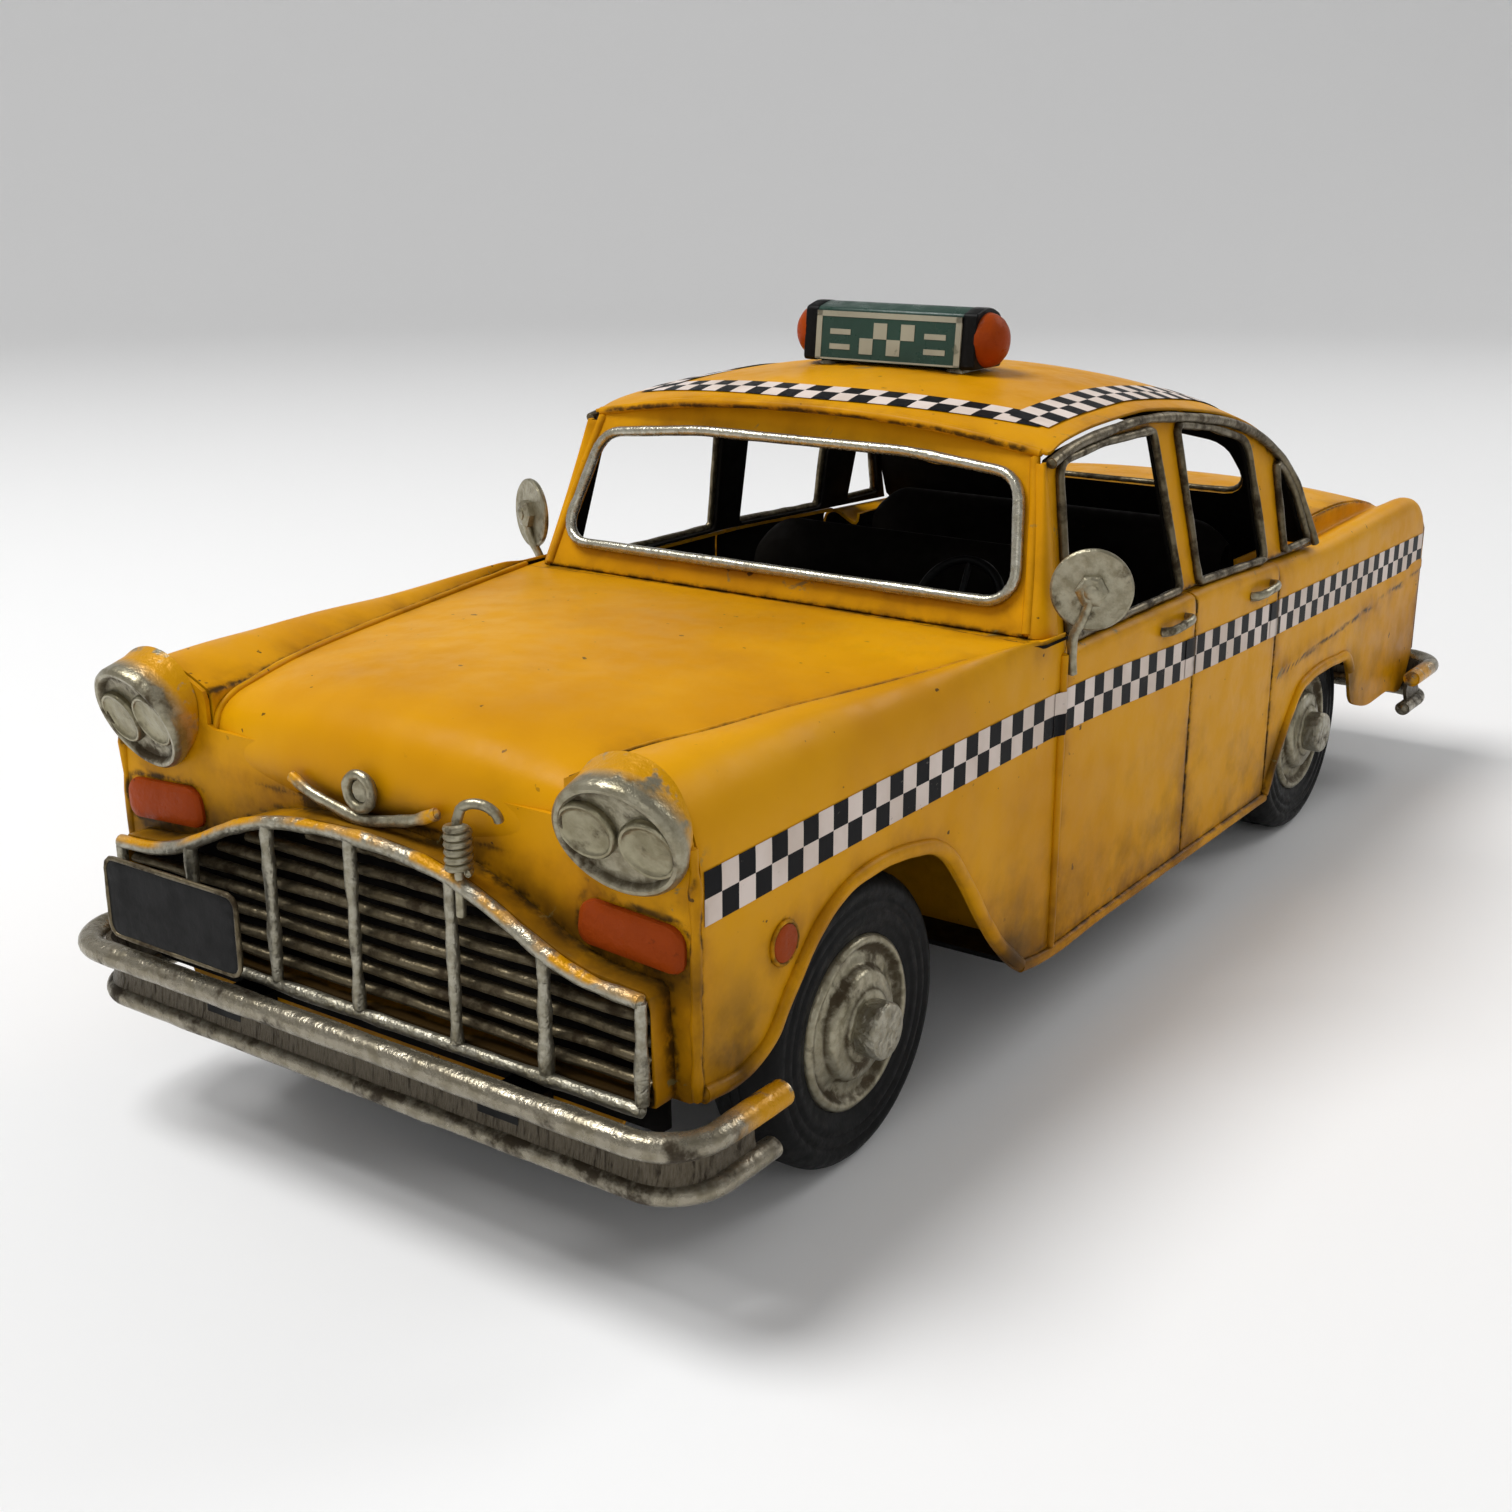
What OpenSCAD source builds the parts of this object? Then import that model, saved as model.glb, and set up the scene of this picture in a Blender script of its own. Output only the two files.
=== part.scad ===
// Friction tin car: a 1950s style cab in pressed tin, about 1:15.
// +Z up, front towards -Y, the car's own left side towards +X.
// The origin is on the ground under the middle of the car.

/* [Overall] */
// Length over the two bumpers
car_length = 347; // [345:0.5:349]
// Half width of the flat body sides
side_x = 60.6; // [60.4:0.1:60.8]
// Thickness of the pressed sheets
sheet = 0.8; // [0.7:0.1:0.9]

/* [Running gear] */
// Outer radius of the tyres
tyre_r = 25; // [24.5:0.25:25.25]
// Place of the front axle along the car
front_axle_y = -110.4; // [-111:0.1:-109.5]
// Place of the rear axle along the car
rear_axle_y = 92.8; // [92:0.1:93.5]
// Radius of the axle rods
axle_r = 1.6; // [1.5:0.05:1.7]
// Running clearance of a rod in its hole
run_fit = 0.06; // [0.03:0.01:0.1]
// Distance of the tyre's outer face from the car's middle
tyre_face_x = 56; // [55.5:0.25:56.5]
// Width of a tyre
tyre_w = 14; // [13:0.5:14]

/* [Friction motor] */
// Teeth of the two larger gears
gear_teeth = 24; // [22:2:24]
// Teeth of the two pinions
pinion_teeth = 12; // [12:1:13]
// Gear module
gear_module = 0.4; // [0.39:0.01:0.41]
// Radius of the flywheel
flywheel_r = 12; // [11:0.5:12]

/* [Trim] */
// Radius of the thin trim wires
wire_r = 1; // [0.9:0.05:1.1]
// Radius of the rolled bumper rails
rail_r = 2.2; // [2:0.1:2.3]
// Number of horizontal grille slats
slat_count = 8; // [7:1:8]
// Turns of the wire coil on the grille
coil_turns = 6; // [5:1:7]

/* [Hidden] */
$fn = 48;

YELLOW = [0.86, 0.58, 0.05];
SILVER = [0.62, 0.6, 0.53];
BLACK = [0.07, 0.07, 0.07];
RED = [0.75, 0.2, 0.07];
STEEL = [0.55, 0.56, 0.58];
GREEN = [0.08, 0.25, 0.2];
seam = 0.25;
axle_z = tyre_r;

// ---- shared outlines: [place along the car, height] ----
door_front_y = -50.6;
door_mid_y = 8.5;
door_rear_y = 55.4;
rocker_z = 17.8;
front_arch = [[-159, 33], [-150.3, 32.5], [-142.7, 35], [-136.3, 42], [-128.3, 49.6],
    [-122, 52.4], [-115, 53.3], [-102.1, 52.3], [-96, 50.8], [-92.2, 48.6], [-86.8, 42.8],
    [-79.1, 33], [-73.1, 26.2], [-64.2, 18.8], [-62.2, rocker_z], [door_front_y, rocker_z]];
rear_arch = [[door_rear_y, rocker_z], [57, 18.6], [62.2, 25.9], [69.8, 34.9], [75.2, 39.4],
    [80, 40.4], [100, 40.6], [106.5, 39.9], [110, 36], [113.5, 28.4], [117, 26.4],
    [130.4, 23.6], [142.5, 23.8], [154, 21.5], [158, 23.5], [162.5, 31]];
sill_line = [[-49, 75.3], [10, 75.2], [55, 73.6], [90, 72.6]];
drip_line = [[-44.5, 108.6], [-38.6, 109.9], [-21.5, 111.5], [-3.6, 111.9], [5.6, 111.3],
    [24.9, 109], [35.3, 107.3], [45.6, 104.8], [57.2, 100.5], [66.5, 94.9], [72.4, 89],
    [75.4, 84], [77.7, 79.8], [80.2, 75]];
fin_line = [[door_rear_y, 73.2], [86, 72.3], [120, 73.2], [150, 73.9], [157, 73],
    [161, 70.9], [162.5, 68.5]];

// ---- helpers ----
function unit(v) = v / norm(v);
function clampi(i, n) = max(0, min(n - 1, i));
function flat(g) = [for (row = g) for (p = row) p];
function grid_normal(g, i, j) =
    let (n = len(g), m = len(g[0]),
        du = g[clampi(i + 1, n)][j] - g[clampi(i - 1, n)][j],
        dv = g[i][clampi(j + 1, m)] - g[i][clampi(j - 1, m)])
    unit(cross(du, dv));

// A pressed sheet: a grid of surface points thickened to one side.
module pressed(g, t = sheet) {
    n = len(g);
    m = len(g[0]);
    inner = [for (i = [0:n - 1]) [for (j = [0:m - 1]) g[i][j] - t * grid_normal(g, i, j)]];
    back = n * m;
    function id(i, j) = i * m + j;
    edge = concat([for (i = [0:n - 1]) id(i, 0)], [for (j = [1:m - 1]) id(n - 1, j)],
        [for (i = [n - 2:-1:0]) id(i, m - 1)], [for (j = [m - 2:-1:1]) id(0, j)]);
    top = [for (i = [0:n - 2]) for (j = [0:m - 2]) each
        [[id(i, j), id(i, j + 1), id(i + 1, j + 1)], [id(i, j), id(i + 1, j + 1), id(i + 1, j)]]];
    under = [for (f = top) [f[2] + back, f[1] + back, f[0] + back]];
    rim = [for (k = [0:len(edge) - 1]) let (a = edge[k], b = edge[(k + 1) % len(edge)]) each
        [[a, b, b + back], [a, b + back, a + back]]];
    polyhedron(concat(flat(g), flat(inner)), concat(top, under, rim));
}

// A round wire swept along a path that lies across the direction ref.
module wire(path, r, ref, closed = false, sides = 8) {
    n = len(path);
    function before(i) = closed ? path[(i + n - 1) % n] : path[max(0, i - 1)];
    function after(i) = closed ? path[(i + 1) % n] : path[min(n - 1, i + 1)];
    rings = [for (i = [0:n - 1]) let (t = unit(after(i) - before(i)), b = unit(cross(t, ref)),
        c = cross(b, t)) [for (k = [0:sides - 1]) path[i]
        + r * (cos(360 * k / sides) * b + sin(360 * k / sides) * c)]];
    last = closed ? n - 1 : n - 2;
    skin = [for (i = [0:last]) for (k = [0:sides - 1]) let (i2 = (i + 1) % n,
        a = i * sides + k, b = i * sides + (k + 1) % sides, c = i2 * sides + (k + 1) % sides,
        d = i2 * sides + k) each [[a, b, c], [a, c, d]]];
    caps = closed ? [] : [[for (k = [sides - 1:-1:0]) k],
        [for (k = [0:sides - 1]) (n - 1) * sides + k]];
    polyhedron(flat(rings), concat(skin, caps));
}

// Points of a closed outline with each corner [x, y, r] rounded.
function rounded(c, steps = 5) = [for (i = [0:len(c) - 1])
    let (n = len(c), p = [c[i][0], c[i][1]],
        a = unit([c[(i + n - 1) % n][0], c[(i + n - 1) % n][1]] - p),
        b = unit([c[(i + 1) % n][0], c[(i + 1) % n][1]] - p),
        half = acos(a * b) / 2, reach = c[i][2] / tan(half),
        mid = p + unit(a + b) * c[i][2] / sin(half),
        s = p + a * reach - mid, e = p + b * reach - mid)
    for (k = [0:steps]) mid + c[i][2] * unit(s * (1 - k / steps) + e * k / steps)];

module along_x(x0, x1) {
    translate([x0, 0, 0]) rotate([90, 0, 90]) linear_extrude(x1 - x0) children();
}
module along_y(y0, y1) {
    translate([0, y1, 0]) rotate([90, 0, 0]) linear_extrude(y1 - y0) children();
}
module both_sides() {
    children();
    mirror([1, 0, 0]) children();
}
module spin_x(x0, x1, r) {
    translate([x0, 0, 0]) rotate([0, 90, 0]) cylinder(r = r, h = x1 - x0);
}

// ---- floor and front end ----
floor_z = 18;
floor_t = 1;
module floor_pan() {
    color(BLACK) translate([0, 0, floor_z]) linear_extrude(floor_t) {
        translate([-37, -157]) square([74, 319]);
        translate([-59.5, -61]) square([119, 116]);
    }
}

// Seam between hood and fender: half width and height along the car.
seam_x = [[-161, 37.7], [-150, 38.4], [-146, 39.4], [-137, 42.3], [-121, 46], [-100, 50.8],
    [-80, 55.2], [-59, 60]];
seam_z = [[-161, 76.8], [-146, 77.4], [-121, 78], [-51, 78.1]];
side_top = [[-161, 65.5], [-121, 66.5], [-90, 69], [-70, 72.5], [-59, 76]];
crown_rise = [[-160, 5.8], [-150, 6], [-135, 5.3], [-121, 4.9], [-100, 3.7], [-80, 3.2], [-66, 2.5],
    [-59, 1.2]];
function fender_section(y) =
    let (w = side_x - lookup(y, seam_x), zs = lookup(y, side_top),
        h = lookup(y, seam_z) - zs, bump = lookup(y, crown_rise))
    concat([[side_x, y, lookup(y, front_arch)], [side_x, y, (lookup(y, front_arch) + zs) / 2]],
        [for (a = [0:15:90]) [side_x - w * (1 - cos(a)), y, zs + h * sin(a)
            + bump * sin(2 * a)]]);
fender_y = concat([for (p = front_arch) if (p[0] < -62.5) p[0]], [-62.2, -58.6]);
module front_fender() {
    pressed([for (y = fender_y) fender_section(y)]);
    along_x(side_x - sheet, side_x) polygon([[-58.6, rocker_z], [door_front_y - seam, rocker_z],
        [door_front_y - seam, 77.6], [-58.6, 77.6]]);
}
module front_fender_left() { color(YELLOW) front_fender(); }
module front_fender_right() { color(YELLOW) mirror([1, 0, 0]) front_fender(); }

// Hood: [place, half width, height at the edge, height at the middle] down the middle line.
hood_line = [[-160.6, 37.3, 63.7, 63.7], [-161.6, 37.3, 67, 67], [-161.2, 37.3, 71, 72],
    [-159.6, 37.4, 74, 76.2], [-156.5, 37.5, 75.6, 78.8], [-151, 38.1, 76.6, 80.4],
    [-144, 39.8, 77.2, 81], [-133, 43, 77.5, 81.2], [-121, 45.7, 77.8, 81.2],
    [-100, 50.5, 77.9, 80.7], [-80, 54.9, 78, 79.9], [-59, 59.6, 78, 78.7]];
module hood() {
    color(YELLOW) pressed([for (h = hood_line) [for (k = [8:-1:-8])
        [h[1] * k / 8, h[0] + 2.4 * pow(k / 8, 2) * max(0, (h[0] + 140) / -22),
            h[3] - (h[3] - h[2]) * pow(abs(k / 8), 2.6)]]]);
}

module nose_outline() {
    pod = [for (a = [15:15:90]) let (s = fender_section(-159)[2 + a / 15]) [s[0], s[2] - 0.1]];
    polygon(concat([[46, 24], [50, 33], [side_x, 33]], [[side_x, 65.5]], pod, [[37.7, 63.5],
        [-37.7, 63.5]], [for (k = [len(pod) - 1:-1:0]) [-pod[k][0], pod[k][1]]],
        [[-side_x, 65.5], [-side_x, 33], [-50, 33], [-46, 24]]));
}
module nose_panel() { color(YELLOW) along_y(-160.2, -159.2) nose_outline(); }

// Firewall with the narrow cowl shelf in front of the windscreen.
module cowl_panel() {
    color(YELLOW) {
        translate([-59.3, -58.2, 76.8]) cube([118.6, 7.6, 0.9]);
        translate([-59.3, -51.6, floor_z + floor_t]) cube([118.6, 1, 58]);
    }
}

// ---- greenhouse ----
// The windscreen plane starts on the cowl shelf and leans back.
screen_foot = [0, -56.2, 78.2];
screen_lean = 21.6;
module screen_plane() {
    translate(screen_foot) rotate([90 - screen_lean, 0, 0]) children();
}
crown = [for (k = [-6:6]) let (u = k / 6) [-u * 49.2, 32.7 + 3.7 * (1 - u * u)]];
opening_in = rounded([[-52.4, 5.3, 5], [52.4, 5.3, 5], [47.9, 28.5, 6], [24, 30.7, 60],
    [-24, 30.7, 60], [-47.9, 28.5, 6]]);
// Corner post between the windscreen frame and the side frame, rounded across.
post_back = [[0, -49.4], [0.5, -46.7], [1, -44.8]];
module corner_post() {
    pressed([for (k = [0:6]) let (t = k / 6, back = [58.2 - 6.1 * t, lookup(t, post_back),
        78 + 29.2 * t], front = [55.9 - 6 * t, -56.3 + 11.2 * t, 78.3 + 28.4 * t])
        [for (j = [0:4]) back + (front - back) * j / 4 + [1.1, -1.1, 0] * sin(45 * j)]]);
}
module windscreen_frame() {
    color(YELLOW) {
        screen_plane() translate([0, 0, -1]) linear_extrude(1.2) difference() {
            polygon(concat([[-55.6, 0], [55.6, 0]], crown));
            polygon(opening_in);
        }
        both_sides() corner_post();
    }
}
module windscreen_trim() {
    color(SILVER) screen_plane() wire([for (p = opening_in) [p[0], p[1], 1.25]], wire_r,
        [0, 0, 1], true);
}

roof_middle = [[-47, 113.2], [-46, 114.4], [-43, 115.4], [-36, 116.5], [-20, 117.9], [-5, 118.5],
    [5, 118.4], [15, 117.9], [25, 116.9], [35, 115.4], [44, 113.8], [52, 111.6], [62, 107.8]];
roof_y = [-46.4, -44.5, -40, -34, -27, -20, -10, 0, 10, 20, 30, 40, 50, 56, 61];
side_tilt = 10.85;
function side_plane_x(z) = 58.5 - tan(side_tilt) * (z - 73);
function roof_row(y) = let (ze = lookup(y, drip_line) + 0.5, xe = side_plane_x(ze) + 0.4,
    zc = lookup(y, roof_middle)) [for (k = [9:-1:-9]) let (u = k / 9)
    [xe * u, y + 2.2 * u * u * max(0, (y + 36) / -10), zc - (zc - ze) * pow(abs(u), 2.3)]];
module roof_panel() { color(YELLOW) pressed([for (y = roof_y) roof_row(y)]); }

// The three side openings: [place along the car, slope height above the sill base, radius].
front_opening = rounded([[-45.5, 3.2, 1], [4.4, 3.2, 1], [0.2, 35.6, 1.5], [-22, 35.8, 40],
    [-40.8, 34.4, 4]]);
rear_opening = rounded([[13.8, 3.2, 1], [49.8, 1.8, 1], [47.2, 28.2, 6], [28, 33, 40],
    [11.2, 35.4, 1.5]]);
quarter_opening = rounded([[61.6, 1.9, 0.6], [77, 1.8, 0.6], [71.6, 13.6, 8], [66.4, 19.4, 4],
    [62, 21.6, 1]]);
module side_plane() {
    translate([58.5, 0, 73]) rotate([0, -side_tilt, 0]) rotate([90, 0, 90]) children();
}
function on_slope(p, drop) = [p[0], (p[1] - 73) / cos(side_tilt) - drop];
module side_frame() {
    side_plane() translate([0, 0, -1.2]) linear_extrude(1.2) difference() {
        polygon(concat([for (p = sill_line) if (p[0] < 86) on_slope(p, -0.3)], [[80.8, 0]],
            [for (k = [len(drip_line) - 1:-1:0]) on_slope(drip_line[k], 1)], [[-46.4, 20]]));
        polygon(front_opening);
        polygon(rear_opening);
        polygon(quarter_opening);
    }
}
module side_frame_left() { color(YELLOW) side_frame(); }
module side_frame_right() { color(YELLOW) mirror([1, 0, 0]) side_frame(); }
module window_trim() {
    side_plane() {
        for (o = [front_opening, rear_opening, quarter_opening])
            wire([for (p = o) [p[0], p[1], 0.85]], 0.8, [0, 0, 1], true, 6);
        wire([for (p = drip_line) concat(on_slope(p, 1.6), 1.05)], wire_r, [0, 0, 1]);
    }
}
module window_trim_left() { color(SILVER) window_trim(); }
module window_trim_right() { color(SILVER) mirror([1, 0, 0]) window_trim(); }

// Rear window frame: a flat sheet leaning forward from the deck to the roof's rear edge.
rear_foot = [0, 81.2, 73.6];
rear_top = [0, 62, 107.4];
rear_run = norm(rear_top - rear_foot);
rear_lean = atan2(rear_foot[1] - rear_top[1], rear_top[2] - rear_foot[2]);
module rear_window_frame() {
    color(YELLOW) translate(rear_foot) rotate([90 + rear_lean, 0, 0]) linear_extrude(1)
    difference() {
        polygon(concat([[-56.6, 0], [56.6, 0], [53.3, 22]], [for (k = [-6:6]) let (u = -k / 6)
            [51.6 * u, 28 + (rear_run - 28.6) * (1 - pow(abs(u), 2.3))]], [[-53.3, 22]]));
        polygon(rounded([[-46, 12.5, 5], [46, 12.5, 5], [41, 27, 7], [0, 34, 60], [-41, 27, 7]]));
    }
}

// ---- doors, quarters and tail ----
module door(y0, y1) {
    z0 = lookup(y0, sill_line);
    z1 = lookup(y1, sill_line);
    along_x(side_x - sheet, side_x) polygon([[y0, rocker_z + 0.6], [y1, rocker_z + 0.6],
        [y1, z1 - 2], [y0, z0 - 2]]);
    multmatrix([[1, 0, 0, 0], [0, 1, 0, 0], [0, (z1 - z0) / (y1 - y0), 1,
        z0 - y0 * (z1 - z0) / (y1 - y0)], [0, 0, 0, 1]]) along_y(y0, y1)
        polygon([[side_x, -2], [side_x - sheet, -2.8], [side_x - sheet, -2], [58.6, -0.9],
            [57, -0.9], [57, -0.1], [58.9, -0.1]]);
}
module front_door_left() { color(YELLOW) door(door_front_y + seam, door_mid_y - seam); }
module front_door_right() { color(YELLOW) mirror([1, 0, 0]) front_door_left(); }
module rear_door_left() { color(YELLOW) door(door_mid_y + seam, door_rear_y - seam); }
module rear_door_right() { color(YELLOW) mirror([1, 0, 0]) rear_door_left(); }

// Trunk lid with the deck: [place, height at the edge, height at the middle].
lid_line = [[82.8, 73.2, 77.1], [104, 75.6, 79.4], [119, 75.8, 79.6], [134, 74.9, 78.4],
    [146, 73, 75.8], [154, 70.6, 72.4], [159, 66.5, 68], [161.5, 61, 62], [162.4, 50, 50]];
lid_edge = [for (l = lid_line) [l[0], l[1]]];
function quarter_section(y) = let (zt = lookup(y, fin_line), zb = lookup(y, rear_arch))
    [[side_x, y, zb], [side_x, y, (zb + zt) / 2], [side_x, y, zt - 5.5], [60.3, y, zt - 2.8],
        [59.6, y, zt - 1.2], [58.2, y, zt - 0.2], [57, y, zt], [55.6, y, zt - 0.4],
        [53, y, zt - 1.8], [50.6, y, min(zt - 2.6, lookup(y, lid_edge) - 0.8)],
        [50.3, y, lookup(y, lid_edge) - 0.4]];
quarter_y = [for (p = rear_arch) if (p[0] > door_rear_y + 1) p[0]];
module rear_quarter() {
    pressed([for (y = concat([door_rear_y + seam], quarter_y)) quarter_section(y)]);
}
module rear_quarter_left() { color(YELLOW) rear_quarter(); }
module rear_quarter_right() { color(YELLOW) mirror([1, 0, 0]) rear_quarter(); }

module trunk_lid() {
    color(YELLOW) pressed([for (h = lid_line) [for (k = [7:-1:-7])
        [49.4 * k / 7, h[0], h[2] - (h[2] - h[1]) * pow(abs(k / 7), 2.6)]]]);
}
module rear_panel() {
    color(YELLOW) along_y(162.7, 163.5) polygon([[-46, 24], [46, 24], [54, 31],
        [59.8, 31], [59.8, 64], [57, 68], [50, 66], [49.6, 49.6], [-49.6, 49.6],
        [-50, 66], [-57, 68], [-59.8, 64], [-59.8, 31], [-54, 31]]);
}

// ---- beads along the lower edges ----
function inset_line(l, d) = [for (i = [0:len(l) - 1])
    let (t = unit(l[min(len(l) - 1, i + 1)] - l[max(0, i - 1)])) l[i] + d * [-t[1], t[0]]];
module bead(l, w) {
    along_x(side_x + 0.05, side_x + 1.1)
        polygon(concat(l, [for (k = [len(l) - 1:-1:0]) inset_line(l, w)[k]]));
}
front_bead = [for (p = front_arch) if (p[0] < -63) p];
rear_bead = [for (p = rear_arch) if (p[0] > 56 && p[0] < 112) p];
module arch_beads() { color(YELLOW) both_sides() { bead(front_bead, 2.6); bead(rear_bead, 2.6); } }
module rocker_beads() {
    color(YELLOW) both_sides()
        bead([[-62.5, rocker_z - 0.4], [door_rear_y + 0.4, rocker_z - 0.4]], 2);
}

// ---- grille and nose fittings ----
grille_y = -166;
grille_low = 34.2;
grille_top = [[0, 62.2], [8, 61.9], [16, 61], [22, 59.6], [28, 57.4], [34, 54.6], [40, 52],
    [46, 50.4], [56, 49.7]];
function arched(d, w) = concat([for (k = [len(grille_top) - 1:-1:0]) let (p = grille_top[k])
    [-min(w, p[0]), p[1] + d]], [for (k = [1:len(grille_top) - 1]) let (p = grille_top[k])
    [min(w, p[0]), p[1] + d]]);
module grille_surround() {
    color(YELLOW) along_y(grille_y + 1.2, -160.3) difference() {
        polygon(concat([[57.2, grille_low - 1], [-57.2, grille_low - 1], [-57.2, 50.4]],
            arched(0.7, 56), [[57.2, 50.4]]));
        polygon(concat([[56.2, grille_low - 0.2], [-56.2, grille_low - 0.2]],
            arched(-0.3, 56.2)));
    }
}
slat_pitch = 3.3;
function slat_half(z) = z < 49 ? 55.6 : lookup(-z, [for (p = grille_top) [-p[1] + 1.2, p[0]]]);
module grille_slats() {
    color(SILVER) for (k = [0:slat_count - 1]) let (z = grille_low + 2 + k * slat_pitch,
        w = slat_half(z + 1)) translate([0, grille_y + 3, z]) rotate([0, 90, 0])
        difference() {
            cylinder(r = 1.35, h = 2 * w, center = true);
            translate([1.2, 0.6, 0]) cube([2, 4, 2 * w + 1], center = true);
        }
}
bar_x = [-37.5, -18.5, 0, 20.5, 38];
module grille_bars() {
    color(SILVER) {
        for (x = bar_x) translate([x, grille_y, grille_low])
            cylinder(r = wire_r, h = lookup(abs(x), grille_top) - grille_low - 0.9, $fn = 20);
        wire([for (p = arched(0, 55.4)) [p[0], grille_y, p[1]]], 1.1, [0, 1, 0]);
        both_sides() translate([55.4, grille_y, grille_low]) cylinder(r = wire_r,
            h = 15.1, $fn = 20);
        translate([-55.4, grille_y, grille_low - 1.1]) rotate([0, 90, 0])
            cylinder(r = wire_r, h = 110.8, $fn = 20);
    }
}
hook_x = 22.6;
module coil_hook() {
    foot = lookup(hook_x, grille_top) + 1.2;
    color(SILVER) {
        wire([for (a = [0:30:360 * coil_turns]) [hook_x + 1.5 * cos(a), grille_y + 1.5 * sin(a),
            foot + 0.8 + a / 360 * 1.15]], 0.6, [0, 0, 1], false, 6);
        wire(concat([[hook_x, grille_y, foot + 0.3], [hook_x, grille_y, foot + 8.5]],
            [for (a = [150:-20:-10]) [hook_x + 2.7 + 2.9 * cos(a), grille_y + 0.6 + (150 - a) / 60,
            foot + 9.2 + 2 * sin(a)]]), 0.75, [0, 1, 0.2], false, 6);
    }
}
module hood_emblem() {
    color(SILVER) {
        translate([0, -163.3, 68.4]) rotate([90, 0, 0]) rotate_extrude()
            translate([2.6, 0]) circle(r = 0.8, $fn = 16);
        translate([0, -161.75, 68.4]) rotate([90, 0, 0]) cylinder(r = 2.1, h = 1.4);
        wire([[-15.5, -162.8, 67.8], [-11, -163, 66], [-6, -163, 64.8], [0, -163.2, 63.9],
            [6, -163, 64.8], [11, -163, 66], [15.5, -162.8, 67.8]], 0.95, [0, 1, 0]);
    }
}
// Each lamp face leans forward at its top; the bezel behind it is cut to the nose panel.
lamp_at = [50.4, -164.4, 71.3];
lamp_tilt = 20;
lens_r = 4.7;
lamp_slots = [[-4.9, 0.7], [4.9, -0.7]];
module lamp_plane() {
    translate(lamp_at) rotate([90 + lamp_tilt, 0, 5]) children();
}
module headlight_bezels() {
    color(SILVER) both_sides() difference() {
        lamp_plane() difference() {
            scale([1, 0.9, 1]) translate([0, 0, -8]) cylinder(r = 10.5, h = 8);
            for (s = lamp_slots) translate([s[0], s[1], -1.4]) cylinder(r = lens_r + 0.1, h = 4);
        }
        translate([30, -160.3, 55]) cube([40, 20, 30]);
    }
}
module headlight_lenses() {
    color([0.75, 0.74, 0.68]) both_sides() lamp_plane() for (s = lamp_slots)
        translate([s[0], s[1], -1.35]) cylinder(r = lens_r, h = 1);
}
module indicators() {
    color(RED) both_sides() along_y(-161.6, -160.3)
        polygon(rounded([[39.9, 53.4, 2], [58.9, 52.2, 2], [59.2, 59.2, 3], [40.8, 60.4, 3]]));
}
module side_markers() {
    color(RED) both_sides() spin_x_at(side_x + 0.05, side_x + 0.7, 2.6, -139.2, 50.4);
}
module spin_x_at(x0, x1, r, y, z) {
    translate([0, y, z]) spin_x(x0, x1, r);
}
module tail_lamps() {
    color(RED) both_sides() {
        translate([55, 163.6, 58]) rotate([-90, 0, 0]) cylinder(r = 3.6, h = 1.6);
        translate([55, 163.6, 49.6]) rotate([-90, 0, 0]) cylinder(r = 3.6, h = 1.6);
    }
}

// ---- bumpers ----
// Channel bumpers: a thick upper rail, a thinner lower rail set back, and a web between.
bumper_face = car_length / 2;
rail_half = 65.8;
corner_r = 9;
bumper_return = 24;
lower_set_back = 3.2;
module rail(z, r, back) {
    y = bumper_face - rail_r - back;
    half = rail_half - back / 2;
    reach = bumper_return - corner_r - back;
    translate([0, 0, z]) {
        translate([0, y, 0]) rotate([0, 90, 0])
            cylinder(r = r, h = 2 * (half - corner_r), center = true);
        both_sides() {
            translate([half - corner_r, y - corner_r, 0]) rotate_extrude(angle = 90)
                translate([corner_r, 0]) circle(r = r, $fn = 24);
            translate([half, y - corner_r, 0]) rotate([90, 0, 0]) cylinder(r = r, h = reach);
        }
    }
}
module web(z0, z1) {
    y = bumper_face - rail_r - 2.1;
    h = rail_half - 1.2;
    function band(d) = [for (a = [0:15:90]) [h - corner_r + (corner_r - d) * cos(a),
        y - corner_r + (corner_r - d) * sin(a)]];
    half = concat([[h, y - bumper_return + 6]], band(0), [for (k = [6:-1:0]) band(0.9)[k]],
        [[h - 0.9, y - bumper_return + 6]]);
    translate([0, 0, z0]) {
        linear_extrude(z1 - z0) translate([-(h - corner_r), y - 0.9])
            square([2 * (h - corner_r), 0.9]);
        both_sides() linear_extrude(z1 - z0) polygon(half);
    }
}
module bumper(z_low, z_high) {
    rail(z_low, rail_r - 0.3, lower_set_back);
    rail(z_high, rail_r, 0);
    web(z_low, z_high);
}
module front_bumper() { color(SILVER) mirror([0, 1, 0]) bumper(22, 31.2); }
module rear_bumper() { color(SILVER) bumper(18.8, 27.2); }
module bumper_brackets() {
    color(BLACK) both_sides() {
        translate([26, -bumper_face + rail_r + 3.1, 25]) cube([8, 7.9, 3]);
        translate([26, 163.6, 24.6]) cube([8, bumper_face - rail_r - 3.1 - 163.6, 1.4]);
    }
}
module number_plate() {
    color(BLACK) along_y(-173.2, -172.2)
        polygon(rounded([[-50.6, 36.6, 2], [-18.8, 36.6, 2], [-18.8, 50.2, 2], [-50.6, 50.2, 2]]));
    color(BLACK) translate([-36.5, -172.2, 40]) cube([4, 5, 1]);
}

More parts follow.
